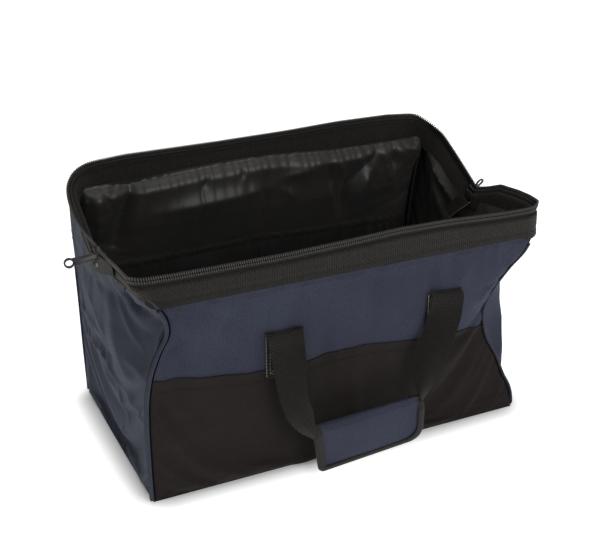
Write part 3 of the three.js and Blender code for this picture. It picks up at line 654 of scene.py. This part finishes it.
front_line = u_line(front_half, (front_corner_y, 218), (-13, 206.8), 13)
back_line = u_line(back_half, (back_corner_y, 257.7), (-7.0, 205.4), 32)[::-1]
front_up, front_out, front_arm = standing(front_line, 0.0, math.atan2(-12, 103), front_corner_y, -13)
back_up, back_out, back_arm = standing(back_line, math.radians(10.62), math.atan2(51.7, 96.25), back_corner_y, 1.5)
front_x, front_y = front_line[:, 0], front_line[:, 1]
front_drop = np.interp(front_x, [-203, -164, -64, 0, 55, 110, 169, 203], [3, 4, 4, 2, -0.5, 0, 3, 3.5])
front_drop = front_drop * np.clip(1 - front_arm * 2.5, 0, 1)
front_line[:, 2] -= front_drop
at_right = front_x > 150
front_line[:, 2] += np.where(at_right, np.interp(front_y, [-109, -98, -70, -47, -30, -14], [0, 3.5, 6, 8, 3, 0]), 0)
front_line[:, 0] += 15.0 * np.clip((front_x - 150) / 53, 0, 1) ** 2 * np.interp(front_y, [-85, -47, -20], [1, 0.45, 0])
back_rise = np.interp(back_line[:, 0], [-209, -150, -50, 30, 90, 150, 190, 209], [0, 4.5, 5, 6.5, 9, 9, 6, 0])
back_line[:, 2] += back_rise * np.clip(1 - np.abs(back_line[:, 1] - back_corner_y) / 20, 0, 1)
front_tilt = np.where(front_line[:, 0] < 0, 27.0, 25.0) * np.clip(front_arm / 0.12, 0, 1)
back_tilt = np.where(back_line[:, 0] < 0, 50.0, 5.0) * np.sin(np.pi * np.clip(back_arm, 0, 1))


def hem_rows(line, up, out, outer, inner, ripple, seed, drawn=0.0, cover=0.0):
    """The fold of webbing over a wire: up the outside, over the top and down the inside."""
    rows = []
    s = run_along(line)
    soft = np.array([noise.noise(Vector((d / 45, seed, 0))) for d in s])
    fine = np.array([noise.noise(Vector((d / 16, seed, 5))) for d in s])
    for k in np.linspace(1, 0, 9):
        groove = 0.55 * np.exp(-(((k - 0.62) / 0.05) ** 2))
        a = 3.1 + 0.5 * k * k - groove + ripple * k * (soft * 0.9)
        row = line + out * a[:, None] + up * np.broadcast_to(-1.0 - (outer - 1.0) * k, s.shape)[:, None]
        row[:, 0] += drawn * k
        row[:, 1] -= 0.2 * drawn * k
        rows.append(row)
    for a, b in ((3.2, 0.8), (2.9, 2.2), (2.0, 3.3), (0.9, 3.7), (-0.9, 3.6), (-2.0, 2.6), (-2.6, 1.0)):
        rows.append(line + out * a + up * b)
    for k in np.linspace(0.08, 1, 8):
        a = np.minimum(-2.8 - 0.5 * k - ripple * k * (1.6 * soft + 0.8 * fine), -2.8) - cover * k**0.5
        b = -1.0 - (inner * (1 + 0.10 * fine) - 1.0) * k
        rows.append(line + out * a[:, None] + up * b[:, None])
    return np.array(rows)


left_hand = front_line[:, 0] < 0
short = front_drop * (np.abs(front_line[:, 0]) < 200)
outer_at_left = np.minimum(np.interp(front_arm, [0, 0.02, 0.12, 0.3, 0.65, 1], [21.5, 12, 10, 9, 6, 9]),
                           np.interp(front_line[:, 0], [-202, -197, -190, -184], [12, 15, 20, 21.5]))
front_outer = np.where(left_hand, outer_at_left, 21.5 * (1 - front_arm) + 7.0 * front_arm)
drawn = 9.0 * np.clip((-150 - front_line[:, 0]) / 50, 0, 1) * np.clip((-60 - front_line[:, 1]) / 49, 0, 1)
front_inner = 21.0 * (1 - front_arm) + 13.0 * front_arm
front_inner = np.where(left_hand & (front_arm < 0.5), np.minimum(front_inner, front_outer - 1.0), front_inner)
rows = hem_rows(front_line, front_up, front_out, front_outer - short, front_inner, 0.35, 1.3, drawn)
piece = woven("front_hem_webbing", rows, webbing, thick=1.0)
fit(piece, "webbing", frame_corner, "front_hem", "front_left_arm_hem", "front_right_arm_hem")
back_outer = np.interp(back_arm, [0, 0.15, 0.5, 0.8, 1], [22, 12, 4, 7, 5])
back_inner = np.interp(back_line[:, 0], [-200, -150, -88, -4, 86, 200], [17, 19, 17, 14, 20, 18])
back_inner = back_inner * (1 - back_arm) + 23.0 * back_arm
over_rivet = 3.4 * np.clip(back_arm / 0.15, 0, 1)
rows = hem_rows(back_line, back_up, back_out, back_outer, back_inner, 0.8, 6.1, cover=over_rivet)
piece = woven("back_hem_webbing", rows, webbing, thick=1.0)
fit(piece, "webbing", "back_mouth", "back_hem", "back_left_arm_hem", "back_right_arm_hem")


# Zip.
# A number ten nylon coil: each half is a chain of bent coil turns on the edge of a plain tape, which stands in the hem.
# The halves part at the sliders, where they meet in the middle of each end.
def glossy_finish(name, colour, rough, metallic):
    """Nylon or metal with a fine grain in its colour, gloss and surface."""
    finish, tree, face, place = new_finish(name)
    grain = node(tree, "TexNoise", {"Vector": place, "Scale": 700, "Detail": 3})
    shade = node(tree, "MapRange", {"Value": grain, "To Min": 0.75, "To Max": 1.25})
    gloss = node(tree, "MapRange", {"Value": grain, "To Min": rough - 0.12, "To Max": rough + 0.12})
    feed(tree, face, {"Base Color": node(tree, "VectorMath", {0: colour, "Scale": shade}, operation="SCALE"),
                      "Roughness": gloss,
                      "Metallic": metallic,
                      "Normal": node(tree, "Bump", {"Strength": 0.12, "Distance": 0.0002, "Height": grain})})
    return finish


coil_nylon = glossy_finish("coil_nylon", (0.040, 0.0375, 0.034), 0.5, 0.0)
tape_cloth = woven_finish("zip_tape_cloth", (0.0105, 0.0094, 0.0078), 0.62, 1.2, 0.8, 0.5, sheen=0.06, shine=0.2)
# Black thread for the zip stitches; the same finish colours the cords of painted seam shadow beside the front pipings.
thread_and_seam_shade = woven_finish("thread_and_seam_shade", (0.002, 0.002, 0.002), 0.85, 1.2, 0.8, 0.3, sheen=0.0, shine=0.05)
coil_pitch, coil_height, stitch_height, stitch_side, stitch_round = 2.1, 9.3, 9.2, 1.4, 0.25
tape_section = ((0.5, 2.6), (0.5, 4.8), (0.6, 6.8), (0.7, 8.6), (0.6, 10.0), (0.3, 10.7))


def cord_round(name, path, radius, finish, across):
    """A round cord along a line, across being a direction that the line never takes."""
    run = np.gradient(path, axis=0)
    run /= np.linalg.norm(run, axis=1)[:, None]
    side = np.cross(np.array(across, float), run)
    side /= np.linalg.norm(side, axis=1)[:, None]
    other = np.cross(run, side)
    rows = [path + radius * (side * math.cos(a) + other * math.sin(a)) for a in np.linspace(0, 2 * math.pi, 11)[:-1]]
    return rounded(name, rows + rows[:1], finish)


def coil(name, line, up, out):
    """Repeat one bent turn of coil along a wire line."""
    turn = bmesh.new()
    bmesh.ops.create_cube(turn, size=1)
    bmesh.ops.scale(turn, vec=(0.95, 3.0, 6.0), verts=turn.verts)
    bmesh.ops.scale(turn, vec=(1.15, 0.8, 1), verts=[v for v in turn.verts if v.co.z > 0])
    bmesh.ops.bevel(turn, geom=turn.edges[:], offset=0.3, segments=1, affect="EDGES", profile=0.5, material=-1)
    shape = bpy.data.meshes.new("turn")
    turn.to_mesh(shape)
    turn.free()
    d = run_along(line)
    chain = bmesh.new()
    for place in np.arange(2.0, d[-1] - 1, coil_pitch):
        at, lift, side = (Vector([np.interp(place, d, field[:, k]) for k in range(3)]) for field in (line, up, out))
        lift.normalize()
        side.normalize()
        turned = Matrix((side.cross(lift), side, lift)).transposed().to_4x4() @ Matrix.Rotation(math.radians(9), 4, "Y")
        turned.translation = at + lift * coil_height
        before = len(chain.verts)
        chain.from_mesh(shape)
        chain.verts.ensure_lookup_table()
        bmesh.ops.transform(chain, matrix=Matrix.Scale(MM, 4) @ turned, verts=chain.verts[before:])
    bpy.data.meshes.remove(shape)
    return piece_of(name, chain, coil_nylon)


for name, line, up, out, tilt, carrier in (("front", front_line, front_up, front_out, front_tilt, frame_corner),
                                           ("back", back_line, back_up, back_out, back_tilt, "back_mouth")):
    a = np.radians(tilt)[:, None]
    up, out = up * np.cos(a) + out * np.sin(a), out * np.cos(a) - up * np.sin(a)
    rows = [line + out * a + up * b for a, b in tape_section] + [line - out * a + up * b for a, b in tape_section[::-1]]
    fit(coil(f"{name}_zip_coil", line, up, out), "zip_coil", carrier,
        f"{name}_zip_teeth", f"{name}_left_arm_chain", f"{name}_right_arm_chain")
    fit(rounded(f"{name}_zip_tape_cloth", rows + rows[:1], tape_cloth), "black_cloth", carrier, f"{name}_zip_tape")
    for k, side in enumerate((stitch_side, -stitch_side)):
        path = line + up * stitch_height + out * side
        fit(cord_round(f"{name}_coil_stitches_{k}", path, stitch_round, thread_and_seam_shade, (0, 0, 1)), "black_cloth", carrier)

# Base.
# A black cloth panel below a stiff board, and a nylon lining over the board.
# The board stays flat and keeps the bag standing.
base_half = (202, 112.5)
board_share, board_top = np.array([0.965, 0.945, 1]), np.array([0, 0, 5.4])
a, b, c, d = ((sx * base_half[0], sy * base_half[1], 0) for sx, sy in ((-1, -1), (-1, 1), (1, -1), (1, 1)))
base_seams = ([a, b], [c, d], [a, c], [b, d])
under = patch(*base_seams, CELL * 3)[:, ::-1]
piece = woven("base_panel_cloth", under, black_cloth, thick=1.4)
fit(piece, "black_cloth", "bag_base", "base_panel")
over_board = patch(*base_seams, CELL * 1.5) * board_share + board_top
over_board[..., 2] += inside(over_board, 4) * (0.6 + 0.9 * waves(over_board, 40, 8.8))
piece = woven("base_lining_cloth", over_board, lining_nylon, thick=0.4)
fit(piece, "lining", "bag_base", "base_lining")

# Pipings.
# A cord covered in navy cloth is sewn into each upright corner seam and round the seam of the base.
# The front ones follow the front seams where the slack walls pull them in.
round_half, round_corner = (203.6, 114.4), 5
corner = [(round_half[0] - round_corner + round_corner * math.sin(a),
           -round_half[1] + round_corner - round_corner * math.cos(a), 2.4) for a in np.linspace(0, math.pi / 2, 7)]
quarter = corner + [(x, -y, z) for x, y, z in corner[::-1]]
ring = quarter + mirror_x(quarter[::-1])
ring = respaced(np.array(ring + ring[:1]), 400)
ring -= np.array([2.4, 3.4, 0]) * np.sign(ring)
fit(cord_round("base_piping_cord", ring, 1.2, navy_cloth, (0, 0, 1)), "piping", "bag_base", "base_piping")
for face, body, side, seam, y in (("front", "front_wall", "left", front_left_seam, -1),
                                  ("front", "front_wall", "right", front_right_seam, -1),
                                  ("back", "bag_base", "left", back_left_seam, 1),
                                  ("back", "bag_base", "right", mirror_x(back_left_seam), 1)):
    s = -1 if side == "left" else 1
    slack = y < 0 and s < 0
    close, thick, end = (1.9, 2.0, 197) if slack else (0.4, 1.25, 191)
    path = smooth_line(seam, 90) + np.array([s * close, y * close, 0])
    path = path[(path[:, 2] > 2.5) & (path[:, 2] < end)]
    piece = cord_round(f"{face}_{side}_piping_cord", path, thick, navy_cloth, (1, 0, 0))
    fit(piece, "piping", body, f"{face}_{side}_piping")
    if y < 0:
        # Beside each front piping run two black cords: painted shadow along the folds of the seam.
        for k, (across, back, wide) in enumerate(((-2.7, -0.1, 1.0), (0.7, 2.9, 0.8))):
            beside = path + np.array([s * across, -y * back, 0])
            piece = cord_round(f"{side}_seam_shadow_cord_{k}", beside, wide if slack else 0.55, thread_and_seam_shade, (1, 0, 0))
            fit(piece, "black_cloth", body)

# End linings and bound seams.
# Behind each end wall hangs the same black nylon, and the seam in each back corner is bound with a standing tape.
# Above the fold the linings turn with the back of the mouth.
hung_folds = {"left": ((8, (84, 226), (60, 160), 9), (6, (50, 210), (40, 150), 8)),
              "right": ((7, (84, 234), (12, 186), 6), (6, (70, 210), (20, 150), 7))}
lining_gap = 1.8
for side, s in (("left", -1), ("right", 1)):
    rows = end_walls[side]
    into = -normals_of(rows)
    into *= np.where(into[..., :1].mean() * s > 0, -1, 1)
    loose = 3.2 + 2.6 * waves(rows, 36, 2.2 if s < 0 else 6.4)
    inner = rows + into * (lining_gap + inside(rows, 12) * loose)[..., None]
    inner[..., 0] -= s * inside(inner, 6) * folds_on(inner, hung_folds[side], across=0)
    inner = inner[:, ::-1]
    piece = woven(f"{side}_end_lining_cloth", inner, lining_nylon, thick=0.4, cuts=[(pivot, -fold_up)])
    fit(piece, "lining", wall_lean)
    piece = woven(f"{side}_back_gusset_lining_cloth", inner, lining_nylon, thick=0.4, cuts=[(pivot, fold_up)])
    fit(piece, "lining", "back_mouth")
    seam = smooth_line([(s * 196, 105.5, 30), (s * 196.3, 105.5, 100), (s * 196.6, 105, 150), (s * 198, 100.5, 190),
                        (s * 199.5, 93, 232)], 60)
    away = np.array([-s * 0.62, -0.78, 0])
    rows = np.array([seam + away * d for d in (0, 3, 6, 9)[::-s]])
    fit(woven(f"{side}_seam_binding", rows, webbing, thick=1.5), "black_cloth", back_fold)

# Strap anchors.
# At each strap end the webbing is doubled against the wall and sewn down with a crossed box of stitches.
# Its cut edge is frayed and pale; the front ones are tucked under the black lap at the waist.
thread_white = woven_finish("pale_thread", (0.22, 0.2, 0.17), 0.7, 0.8, 0.8, 0.3, sheen=0.2, shine=0.3)
strap_web = woven_finish("strap_webbing", (0.0100, 0.0086, 0.0070), 0.66, 1.9, 1.2, 0.9, streak=0.3, blotch=0.15,
                         sheen=0.06, shine=0.2, sheen_tint=(1, 0.95, 0.85), groove_shade=0.85)
anchor_half, frayed_half, box_half, box_inset = 19, 18.6, 15, 5
anchor_off, stitch_off, stitch_pitch, stitch_long = 1.8, 1.9, 3.2, 2.3


def on_wall(wall, x, z):
    """Depth of a wall at a place in x and z."""
    away = ((wall[..., 0] - x) ** 2 + (wall[..., 2] - z) ** 2).reshape(-1)
    near = np.argsort(away)[:4]
    weight = 1 / (away[near] + 0.5)
    return float((wall[..., 1].reshape(-1)[near] * weight).sum() / weight.sum())


def stitch_line(name, wall, points, out, size, finish):
    """Short stitches along a line on a wall, in one piece."""
    line = smooth_line([(x, 0, z) for x, z in points], 200)
    d = run_along(line)
    bm = bmesh.new()
    for place in np.arange(1.2, length_of(line) - 1, stitch_pitch):
        (x, x2), (z, z2) = (np.interp((place, place + 1), d, line[:, k]).tolist() for k in (0, 2))
        made = bmesh.ops.create_cube(bm, size=1)["verts"]
        bmesh.ops.scale(bm, vec=Vector((stitch_long, size, size)) * MM, verts=made)
        turned = Matrix.Rotation(-math.atan2(z2 - z, x2 - x), 4, "Y")
        turned.translation = Vector((x, on_wall(wall, x, z) + out * stitch_off, z)) * MM
        bmesh.ops.transform(bm, matrix=turned, verts=made)
    return piece_of(name, bm, finish)


def joined(name, parts, finish):
    """One piece made of several, which are removed."""
    bm = bmesh.new()
    for part in parts:
        bm.from_mesh(part.data)
        spare = part.data
        bpy.data.objects.remove(part)
        bpy.data.meshes.remove(spare)
    return piece_of(name, bm, finish)


for place, wall, body, out, spots in (
        ("front", front_wall, "front_wall", -1, ((-67, 103.5, 151.2), (107.5, 106.0, 156.0))),
        ("back", back_wall, "bag_base", 1, ((-86, 110, 151.0), (86, 110, 151.0)))):
    for side, (x, low, high) in zip(("left", "right"), spots):
        rows = np.array([[(u, on_wall(wall, u, z) + out * anchor_off, z) for z in np.linspace(low, high, 16)]
                         for u in np.linspace(x - out * anchor_half, x + out * anchor_half, 8)])
        piece = woven(f"{place}_{side}_anchor_webbing", rows, strap_web, thick=1.6)
        fit(piece, "webbing", body, f"{place}_{side}_anchor")
        a, b, c, d = ((x + dx * box_half, z) for dx, z in ((-1, high - box_inset), (1, high - box_inset),
                                                         (1, low + box_inset), (-1, low + box_inset)))
        frayed = ((x - frayed_half, high - 1), (x - frayed_half, low + 2))
        parts = [stitch_line(f"stitches_{k}", wall, part, out, 0.6 if part is frayed else 0.45, thread_white)
                 for k, part in enumerate(((a, b), (b, c), (c, d), (d, a), (a, c), (b, d), frayed))]
        fit(joined(f"{place}_{side}_anchor_stitches", parts, thread_white), "webbing", body)
lap_line = [(x, lap_edge - waist_slope * x) for x in (-190, -60, 60, 160)]
piece = stitch_line("front_lap_stitches", front_wall, lap_line, -1, 0.4, strap_web)
bend_waist(piece)
fit(piece, "black_cloth", "front_wall")


# Straps.
# One length of webbing hangs from the front anchors and turns flat through the grip.
# Its inner edge buckles into a fan at each turn. The back strap hangs plain.
def strap_between(outer, inner, bow, fans=()):
    """Webbing between its two edges, arched across by bow; its inner edge gathers at the places in fans."""
    count = int(length_of(outer) / (1.9))
    a, b = smooth_line(outer, count), smooth_line(inner, count)
    t = np.linspace(0, 1, count)
    across = b - a
    face = np.cross(np.gradient((a + b) / 2, axis=0), across)
    face /= np.linalg.norm(face, axis=1)[:, None]
    arch = np.interp(t, *zip(*bow))
    d = run_along(b)
    rows = []
    for w in np.linspace(0, 1, 15):
        out = arch * math.sin(math.pi * w)
        for place, width in fans:
            out = out + 0.85 * np.exp(-((t - place) / width) ** 2) * np.sin(d / 0.72) * w**2.2
        rows.append(a + across * w + face * out[:, None])
    return np.array(rows)


front_edge_out = [(-86.2, -114.2, 148.5), (-86.4, -115.6, 151.9), (-86.2, -117.6, 150.0), (-85.3, -121, 137.9),
                  (-84.1, -126, 121.7), (-82.8, -131, 102.3), (-80.7, -136, 85.6), (-76.4, -141, 71.4),
                  (-67.7, -145, 59.3), (-54.1, -147, 48.6), (-40, -146.5, 31), (-18, -146, 20),
                  (10, -145.6, 19), (42, -145.6, 23), (59, -145.8, 36), (64, -148.5, 58),
                  (71.9, -149, 69.8), (83.4, -148, 84.6), (93.6, -146, 102.4),
                  (103.9, -140, 118.3), (115.4, -132, 133.1), (122.3, -124, 142.6), (126.6, -118.0, 151.6),
                  (126.8, -115.6, 154.0), (126.6, -114.2, 150.5)]
front_edge_in = [(-50.2, -114.2, 147.8), (-50.4, -115.6, 151.5), (-50.4, -117.6, 149.7), (-51.0, -124, 137.6),
                 (-53.8, -133, 124.2), (-57.1, -141, 107.4), (-57.7, -146, 93.0), (-54.2, -149, 79.5),
                 (-53.4, -150, 70.4), (-50.5, -149, 62.0), (-40, -146.5, 56), (-18, -146, 56),
                 (10, -145.6, 58), (42, -145.6, 61), (56, -146, 63), (61.5, -147, 67.0),
                 (60.3, -143, 74.5), (60.4, -137, 84.6), (63.3, -130, 95.1),
                 (69.8, -124, 110.3), (79.4, -121, 122.1), (85.5, -119, 138.4), (90.4, -117.4, 155.5),
                 (90.6, -115.6, 158.0), (90.6, -114.2, 154.0)]
back_edge_out = [(104.6, 114.4, 148.5), (104.8, 115.8, 151.6), (104.0, 117.8, 149.5), (99, 127, 128), (92, 132, 104),
                 (84, 134.5, 74), (74, 135, 44), (58, 135, 21), (30, 135, 11.5), (0, 135, 10)]
back_edge_in = [(67.2, 114.4, 148.5), (67.2, 115.8, 151.6), (67.0, 117.8, 149.5), (62, 127, 128), (56, 132, 106),
                (49, 135, 84), (42, 136, 66), (33, 136, 54), (17, 135.4, 49), (0, 135, 48)]
both_sides = lambda edge: edge + mirror_x(edge[-2::-1])
front_bow = ((0, 0), (0.06, 0), (0.2, 2.0), (0.32, 4.0), (0.42, 0), (0.6, 0), (0.7, 3.5), (0.85, 2), (0.95, 0), (1, 0))
back_bow = ((0, 0), (0.06, 0), (0.3, 3), (0.5, 0), (0.7, 3), (0.94, 0), (1, 0))
for place, rows in (("front", strap_between(front_edge_out, front_edge_in, front_bow, ((0.31, 0.06), (0.68, 0.06)))),
                    ("back", strap_between(both_sides(back_edge_out), both_sides(back_edge_in), back_bow,
                                           ((0.36, 0.05), (0.64, 0.05))))):
    piece = woven(f"{place}_strap_webbing", rows, strap_web, thick=1.5)
    fit(piece, "webbing", f"{place}_handle", f"{place}_handle_strap")

# Grip.
# A navy foam pad behind the strap, and a navy flap that folds over its front and is closed below.
# The flap is bound with black tape at both ends and along the bottom, and stitched across below its fold.
flap_corners = [(-47.0, 11.8), (66.2, 20.2), (66.5, 66.5), (-53.6, 61.5)]
flap_rounds = (5, 16, 9, 2)
flap_face, flap_back, flap_swell, flap_thick = -148.6, -146.9, 2.6, 2.4
pad_front, pad_rim, pad_swell, pad_share, pad_drop = -143.4, -143.2, 5.2, 0.965, 1.0


def flap_outline(step):
    """The flap's edge in x and z, anticlockwise from its lower left as seen from the front, with rounded corners."""
    line = []
    for k, r in enumerate(flap_rounds):
        p, a, b = (np.array(flap_corners[(k + d) % 4], float) for d in (0, -1, 1))
        line += bend_through(p + (a - p) / np.linalg.norm(a - p) * r, p, p + (b - p) / np.linalg.norm(b - p) * r, 9)
    line = np.array(line + line[:1])
    return respaced(line, int(run_along(line)[-1] / step) + 1)


flap_edge = flap_outline(1.0)
middle = flap_edge.mean(axis=0)
rings = []
for k in np.linspace(0, 1, 15):
    x, z = (middle + (flap_edge - middle) * k).T
    swell = flap_swell * (1 - k**6) * (0.75 + 0.25 * np.sin(x / 23.0 + z / 19.0))
    past_seam = z - (58.0 + (62.9 - 58.3) / 90.6 * (x + 46))
    y = flap_face - swell + 8.0 * np.clip(past_seam / 9.0, 0, 1) ** 1.6 + 0.9 * np.exp(-((past_seam / 1.1) ** 2))
    rings.append(np.stack([x, y, z], axis=1))
behind = [np.stack([x, np.maximum(y + flap_thick, flap_back), z], axis=1)
          for x, y, z in (ring.T for ring in rings[::-1])]
piece = rounded("grip_flap_cushion", rings + behind, navy_cloth, upright=True)
fit(piece, "navy_cloth", "grip_flap", "grip_flap")
binding_tape = woven_finish("binding_tape", (0.0120, 0.0111, 0.0092), 0.62, 1.0, 1.6, 0.5, streak=0.25, sheen=0.08,
                            shine=0.2, sheen_tint=(1, 0.96, 0.88))
edge = flap_outline(1.2)
nearest = lambda line, place: int(np.argmin(np.linalg.norm(line - np.array(place), axis=1)))
first = nearest(edge, flap_corners[3])
edge = np.r_[edge[first:-1], edge[:first + 1]]
edge = edge[:nearest(edge, (52.0, 66.0))]
tape_width = np.interp(edge[:, 0], [-50, -40, 48, 60], [7.2, 3.6, 3.4, 6.2])
run = np.gradient(edge, axis=0)
run /= np.linalg.norm(run, axis=1)[:, None]
inward = np.stack([-run[:, 1], run[:, 0]], axis=1)
rows = []
binding_section = ((1.0, -0.75), (0.7, -1.0), (0.3, -1.0), (0.0, -0.7), (-0.12, 0.8), (0.0, 2.6), (0.4, 3.1), (0.8, 3.0))
for share, out in binding_section:
    p = edge + inward * (tape_width * share if share > 0 else np.full(len(edge), 4.0 * share))[:, None]
    q = edge + inward * (tape_width * max(share, 0.1))[:, None]
    rows.append(np.stack([p[:, 0], np.interp(q[:, 1], [52, 62, 70], [-149.6, -147.2, -142.5]) + out, p[:, 1]], axis=1))
fit(woven("grip_binding", np.array(rows), binding_tape, thick=0.8, sharp=70), "webbing", "grip_flap")
pad_rings = []
for k in np.linspace(0, 1, 9):
    x, z = (middle + (flap_edge - middle) * k * pad_share).T
    pad_rings.append(np.stack([x, np.full(len(x), pad_rim + pad_swell * (1 - k**5)), z - pad_drop], axis=1))
pad_rings += [np.stack([ring[:, 0], np.full(len(ring), pad_front), ring[:, 2]], axis=1) for ring in pad_rings[::-1]]
piece = rounded("grip_pad_cushion", pad_rings, navy_cloth, upright=True)
fit(piece, "navy_cloth", "front_handle", "front_grip_pad")

# Wires.
# A steel wire bent into a U runs inside each hem, with a flat eye at each end that turns on the pivot rivet.
# The front eyes sit inside the back ones.
wire_steel = glossy_finish("wire_steel_finish", (0.035, 0.035, 0.035), 0.5, 0.6)
wire_round, eye_bore, eye_rim, eye_thick = 2.0, 2.7, 6.5, 1.2
turn = np.linspace(0, 2 * math.pi, 25)
for name, line, half, body in (("front", front_line, front_half, "front_frame"),
                               ("back", back_line, back_half, "back_mouth")):
    eyes = [np.array((np.sign(tip[0]) * half, pivot.y, pivot.z)) for tip in (line[0], line[-1])]
    path = np.vstack([line[0] + (eyes[0] - line[0]) * 0.3, line, line[-1] + (eyes[1] - line[-1]) * 0.3])
    parts = [cord_round("rod", path, wire_round, wire_steel, (0.05, 0.31, 0.95))]
    for k, eye in enumerate(eyes):
        rows = [eye + np.stack([np.full(len(turn), t), r * np.cos(turn), r * np.sin(turn)], axis=1)
                for r, t in ((eye_bore, -eye_thick), (eye_rim, -eye_thick), (eye_rim, eye_thick), (eye_bore, eye_thick),
                             (eye_bore, -eye_thick))]
        parts.append(rounded(f"eye_{k}", rows, wire_steel, sharp=40))
    fit(joined(f"{name}_wire_rod", parts, wire_steel), "wire_steel", body, f"{name}_wire_frame")

# Sliders, pulls and tails.
# Each slider is two blackened zinc plates round the coil with a bridge, and its pull is a flat bar with an oval hole.
# Past the left pivot the tape ends in a folded strip outside; at the right a frayed end of black webbing hangs inside.
zip_metal = glossy_finish("blackened_zip_metal", (0.024, 0.024, 0.025), 0.38, 0.5)


def across_to(direction, line):
    """Unit direction with what it shares with a line taken out."""
    direction = np.array(direction, float)
    direction -= line * (direction @ line)
    return direction / np.linalg.norm(direction)


def slider(name, middle, run, lift):
    """Two plates, the post between them at the wide end, and the bridge on top; lift leads away from the tape."""
    run = np.array(run, float)
    run /= np.linalg.norm(run)
    lift = across_to(lift, run)
    side = np.cross(lift, run)
    angles = np.linspace(0, 2 * math.pi, 29)
    u, v = 6.8 * np.cos(angles), np.sin(angles) * (4.7 + 1.0 * np.cos(angles))
    parts = []
    for low, high in ((-3.6, -2.1), (2.1, 3.6)):
        rings = [middle + run * (u * f)[:, None] + side * (v * f)[:, None] + lift * h
                 for f, h in ((0.9, low), (1, low + 0.4), (1, high - 0.4), (0.9, high))]
        parts.append(rounded("plate", rings, zip_metal))
    rings = [middle + run * (5.0 + 1.2 * np.cos(angles))[:, None] + side * (1.4 * np.sin(angles))[:, None] + lift * h
             for h in (-2.4, 2.4)]
    parts.append(rounded("post", rings, zip_metal))
    rise = 3.0 + 3.6 * np.sin(np.linspace(0, math.pi, 13)) ** 0.6
    arch = np.array([middle + run * a + lift * h for a, h in zip(np.linspace(-5.2, 5.2, 13), rise)])
    parts.append(cord_round("bridge", arch, 1.15, zip_metal, side))
    return joined(name, parts, zip_metal)


def pull_bar(name, root, ring, facing):
    """A flat bar from its root to the middle of its ring, with an oval hole; the columns run round the hole."""
    root, ring = np.array(root, float), np.array(ring, float)
    reach = np.linalg.norm(ring - root)
    along = (ring - root) / reach
    facing = across_to(facing, along)
    across = np.cross(facing, along)
    angles = np.radians(np.r_[np.arange(0, 130, 12), np.arange(130, 231, 4), np.arange(238, 361, 12.2)])
    angles[-1] = 2 * math.pi
    c, s = np.cos(angles), np.sin(angles)
    bar = np.minimum((reach + 2.0) / np.maximum(-c, 1e-3), 3.7 / np.maximum(np.abs(s), 1e-3))
    edge = np.where(c < 0, np.maximum(5.0, bar), 5.0)
    width = 1 - 0.22 * np.clip((-edge * c - 8) / reach, 0, 1)
    outer = along * (edge * c)[:, None] + across * (edge * s * width)[:, None]
    hole = along * (3.3 * c)[:, None] + across * (2.5 * s)[:, None]
    section = ((0.0, 0.5), (0.12, 0.8), (0.88, 0.8), (1.0, 0.4), (1.0, -0.4), (0.88, -0.8), (0.12, -0.8), (0.0, -0.5))
    rows = [ring + hole + (outer - hole) * f + facing * h for f, h in section]
    return rounded(name, rows + rows[:1], zip_metal, sharp=35)


arm_run = (0, 0.881, 0.473)
for side, middle, lift, root, ring, facing in (
        ("left", (-209.5, -9.5, 214.2), (-0.45, -0.42, 0.79),
         (-212.5, -14.5, 214.5), (-237.0, -12.0, 210.5), (-0.38, -0.82, 0.42)),
        ("right", (206.5, -7.0, 212.0), (0.3, -0.45, 0.84),
         (206.5, -4.0, 207.0), (213.0, -10.0, 221.0), (0.4, -0.7, 0.5))):
    fit(slider(f"{side}_slider_body", np.array(middle), arm_run, lift), "zip_metal", f"{side}_slider", f"{side}_slider")
    fit(pull_bar(f"{side}_pull_bar", root, ring, facing), "zip_metal", f"{side}_pull", f"{side}_pull")
tail_edges = {
    "left": ([(-208.4, 40, 211), (-210.0, 18, 213.5), (-210.8, -3, 214), (-210.2, -24, 216), (-207.6, -50, 219)],
             [(-208.4, 41, 184), (-210.6, 20, 188.5), (-211.2, -6, 195), (-210.2, -30, 202), (-207.6, -55, 209)]),
    "right": ([(198.5, -13.5, 201), (196.6, -7, 195), (195, 3, 186), (193.6, 14, 176.5)],
              [(199, 1.5, 205), (197.2, 8, 200), (195.6, 16, 192), (194, 24.5, 183.5)])}
for side, edges in tail_edges.items():
    strip = strap_between(*edges, ((0, 0), (0.5, 1.2), (1, 0)))
    piece = woven(f"{side}_zip_tail_webbing", strip if side == "right" else strip[::-1], strap_web, thick=1.3)
    fit(piece, "webbing", "front_frame", f"{side}_zip_tail")
for name, line in (("low", [(199.2, -13.8, 201.2), (196.2, -6, 194), (194.6, 4, 185.2), (193.1, 14.3, 176.2)]),
                   ("end", [(193.1, 14.3, 176.2), (193.4, 20, 179.5), (193.6, 24.6, 183.2)])):
    path = smooth_line(line, 60)
    path[:, 2] += 0.5 * np.sin(np.arange(60) * 1.7) + 0.3 * np.sin(np.arange(60) * 0.6)
    fit(cord_round(f"frayed_{name}_edge", path, 0.45, thread_white, (1, 0, 0)), "webbing", "front_frame")

# Plain solids.
# The board and the pivot rivets stay as the solids that they are, in the finish of their slot.
looks = {"navy_cloth": navy_cloth, "black_cloth": black_cloth, "piping": navy_cloth, "lining": lining_nylon,
         "webbing": webbing, "board": black_cloth, "zip_coil": coil_nylon, "wire_steel": wire_steel,
         "zip_metal": zip_metal}
for part in frame["record"]["subparts"]:
    ob = bpy.data.objects.get(part["node"])
    if ob is None or ob.hide_render:
        continue
    ob.data.materials.clear()
    ob.data.materials.append(looks[part["material_slot"]])
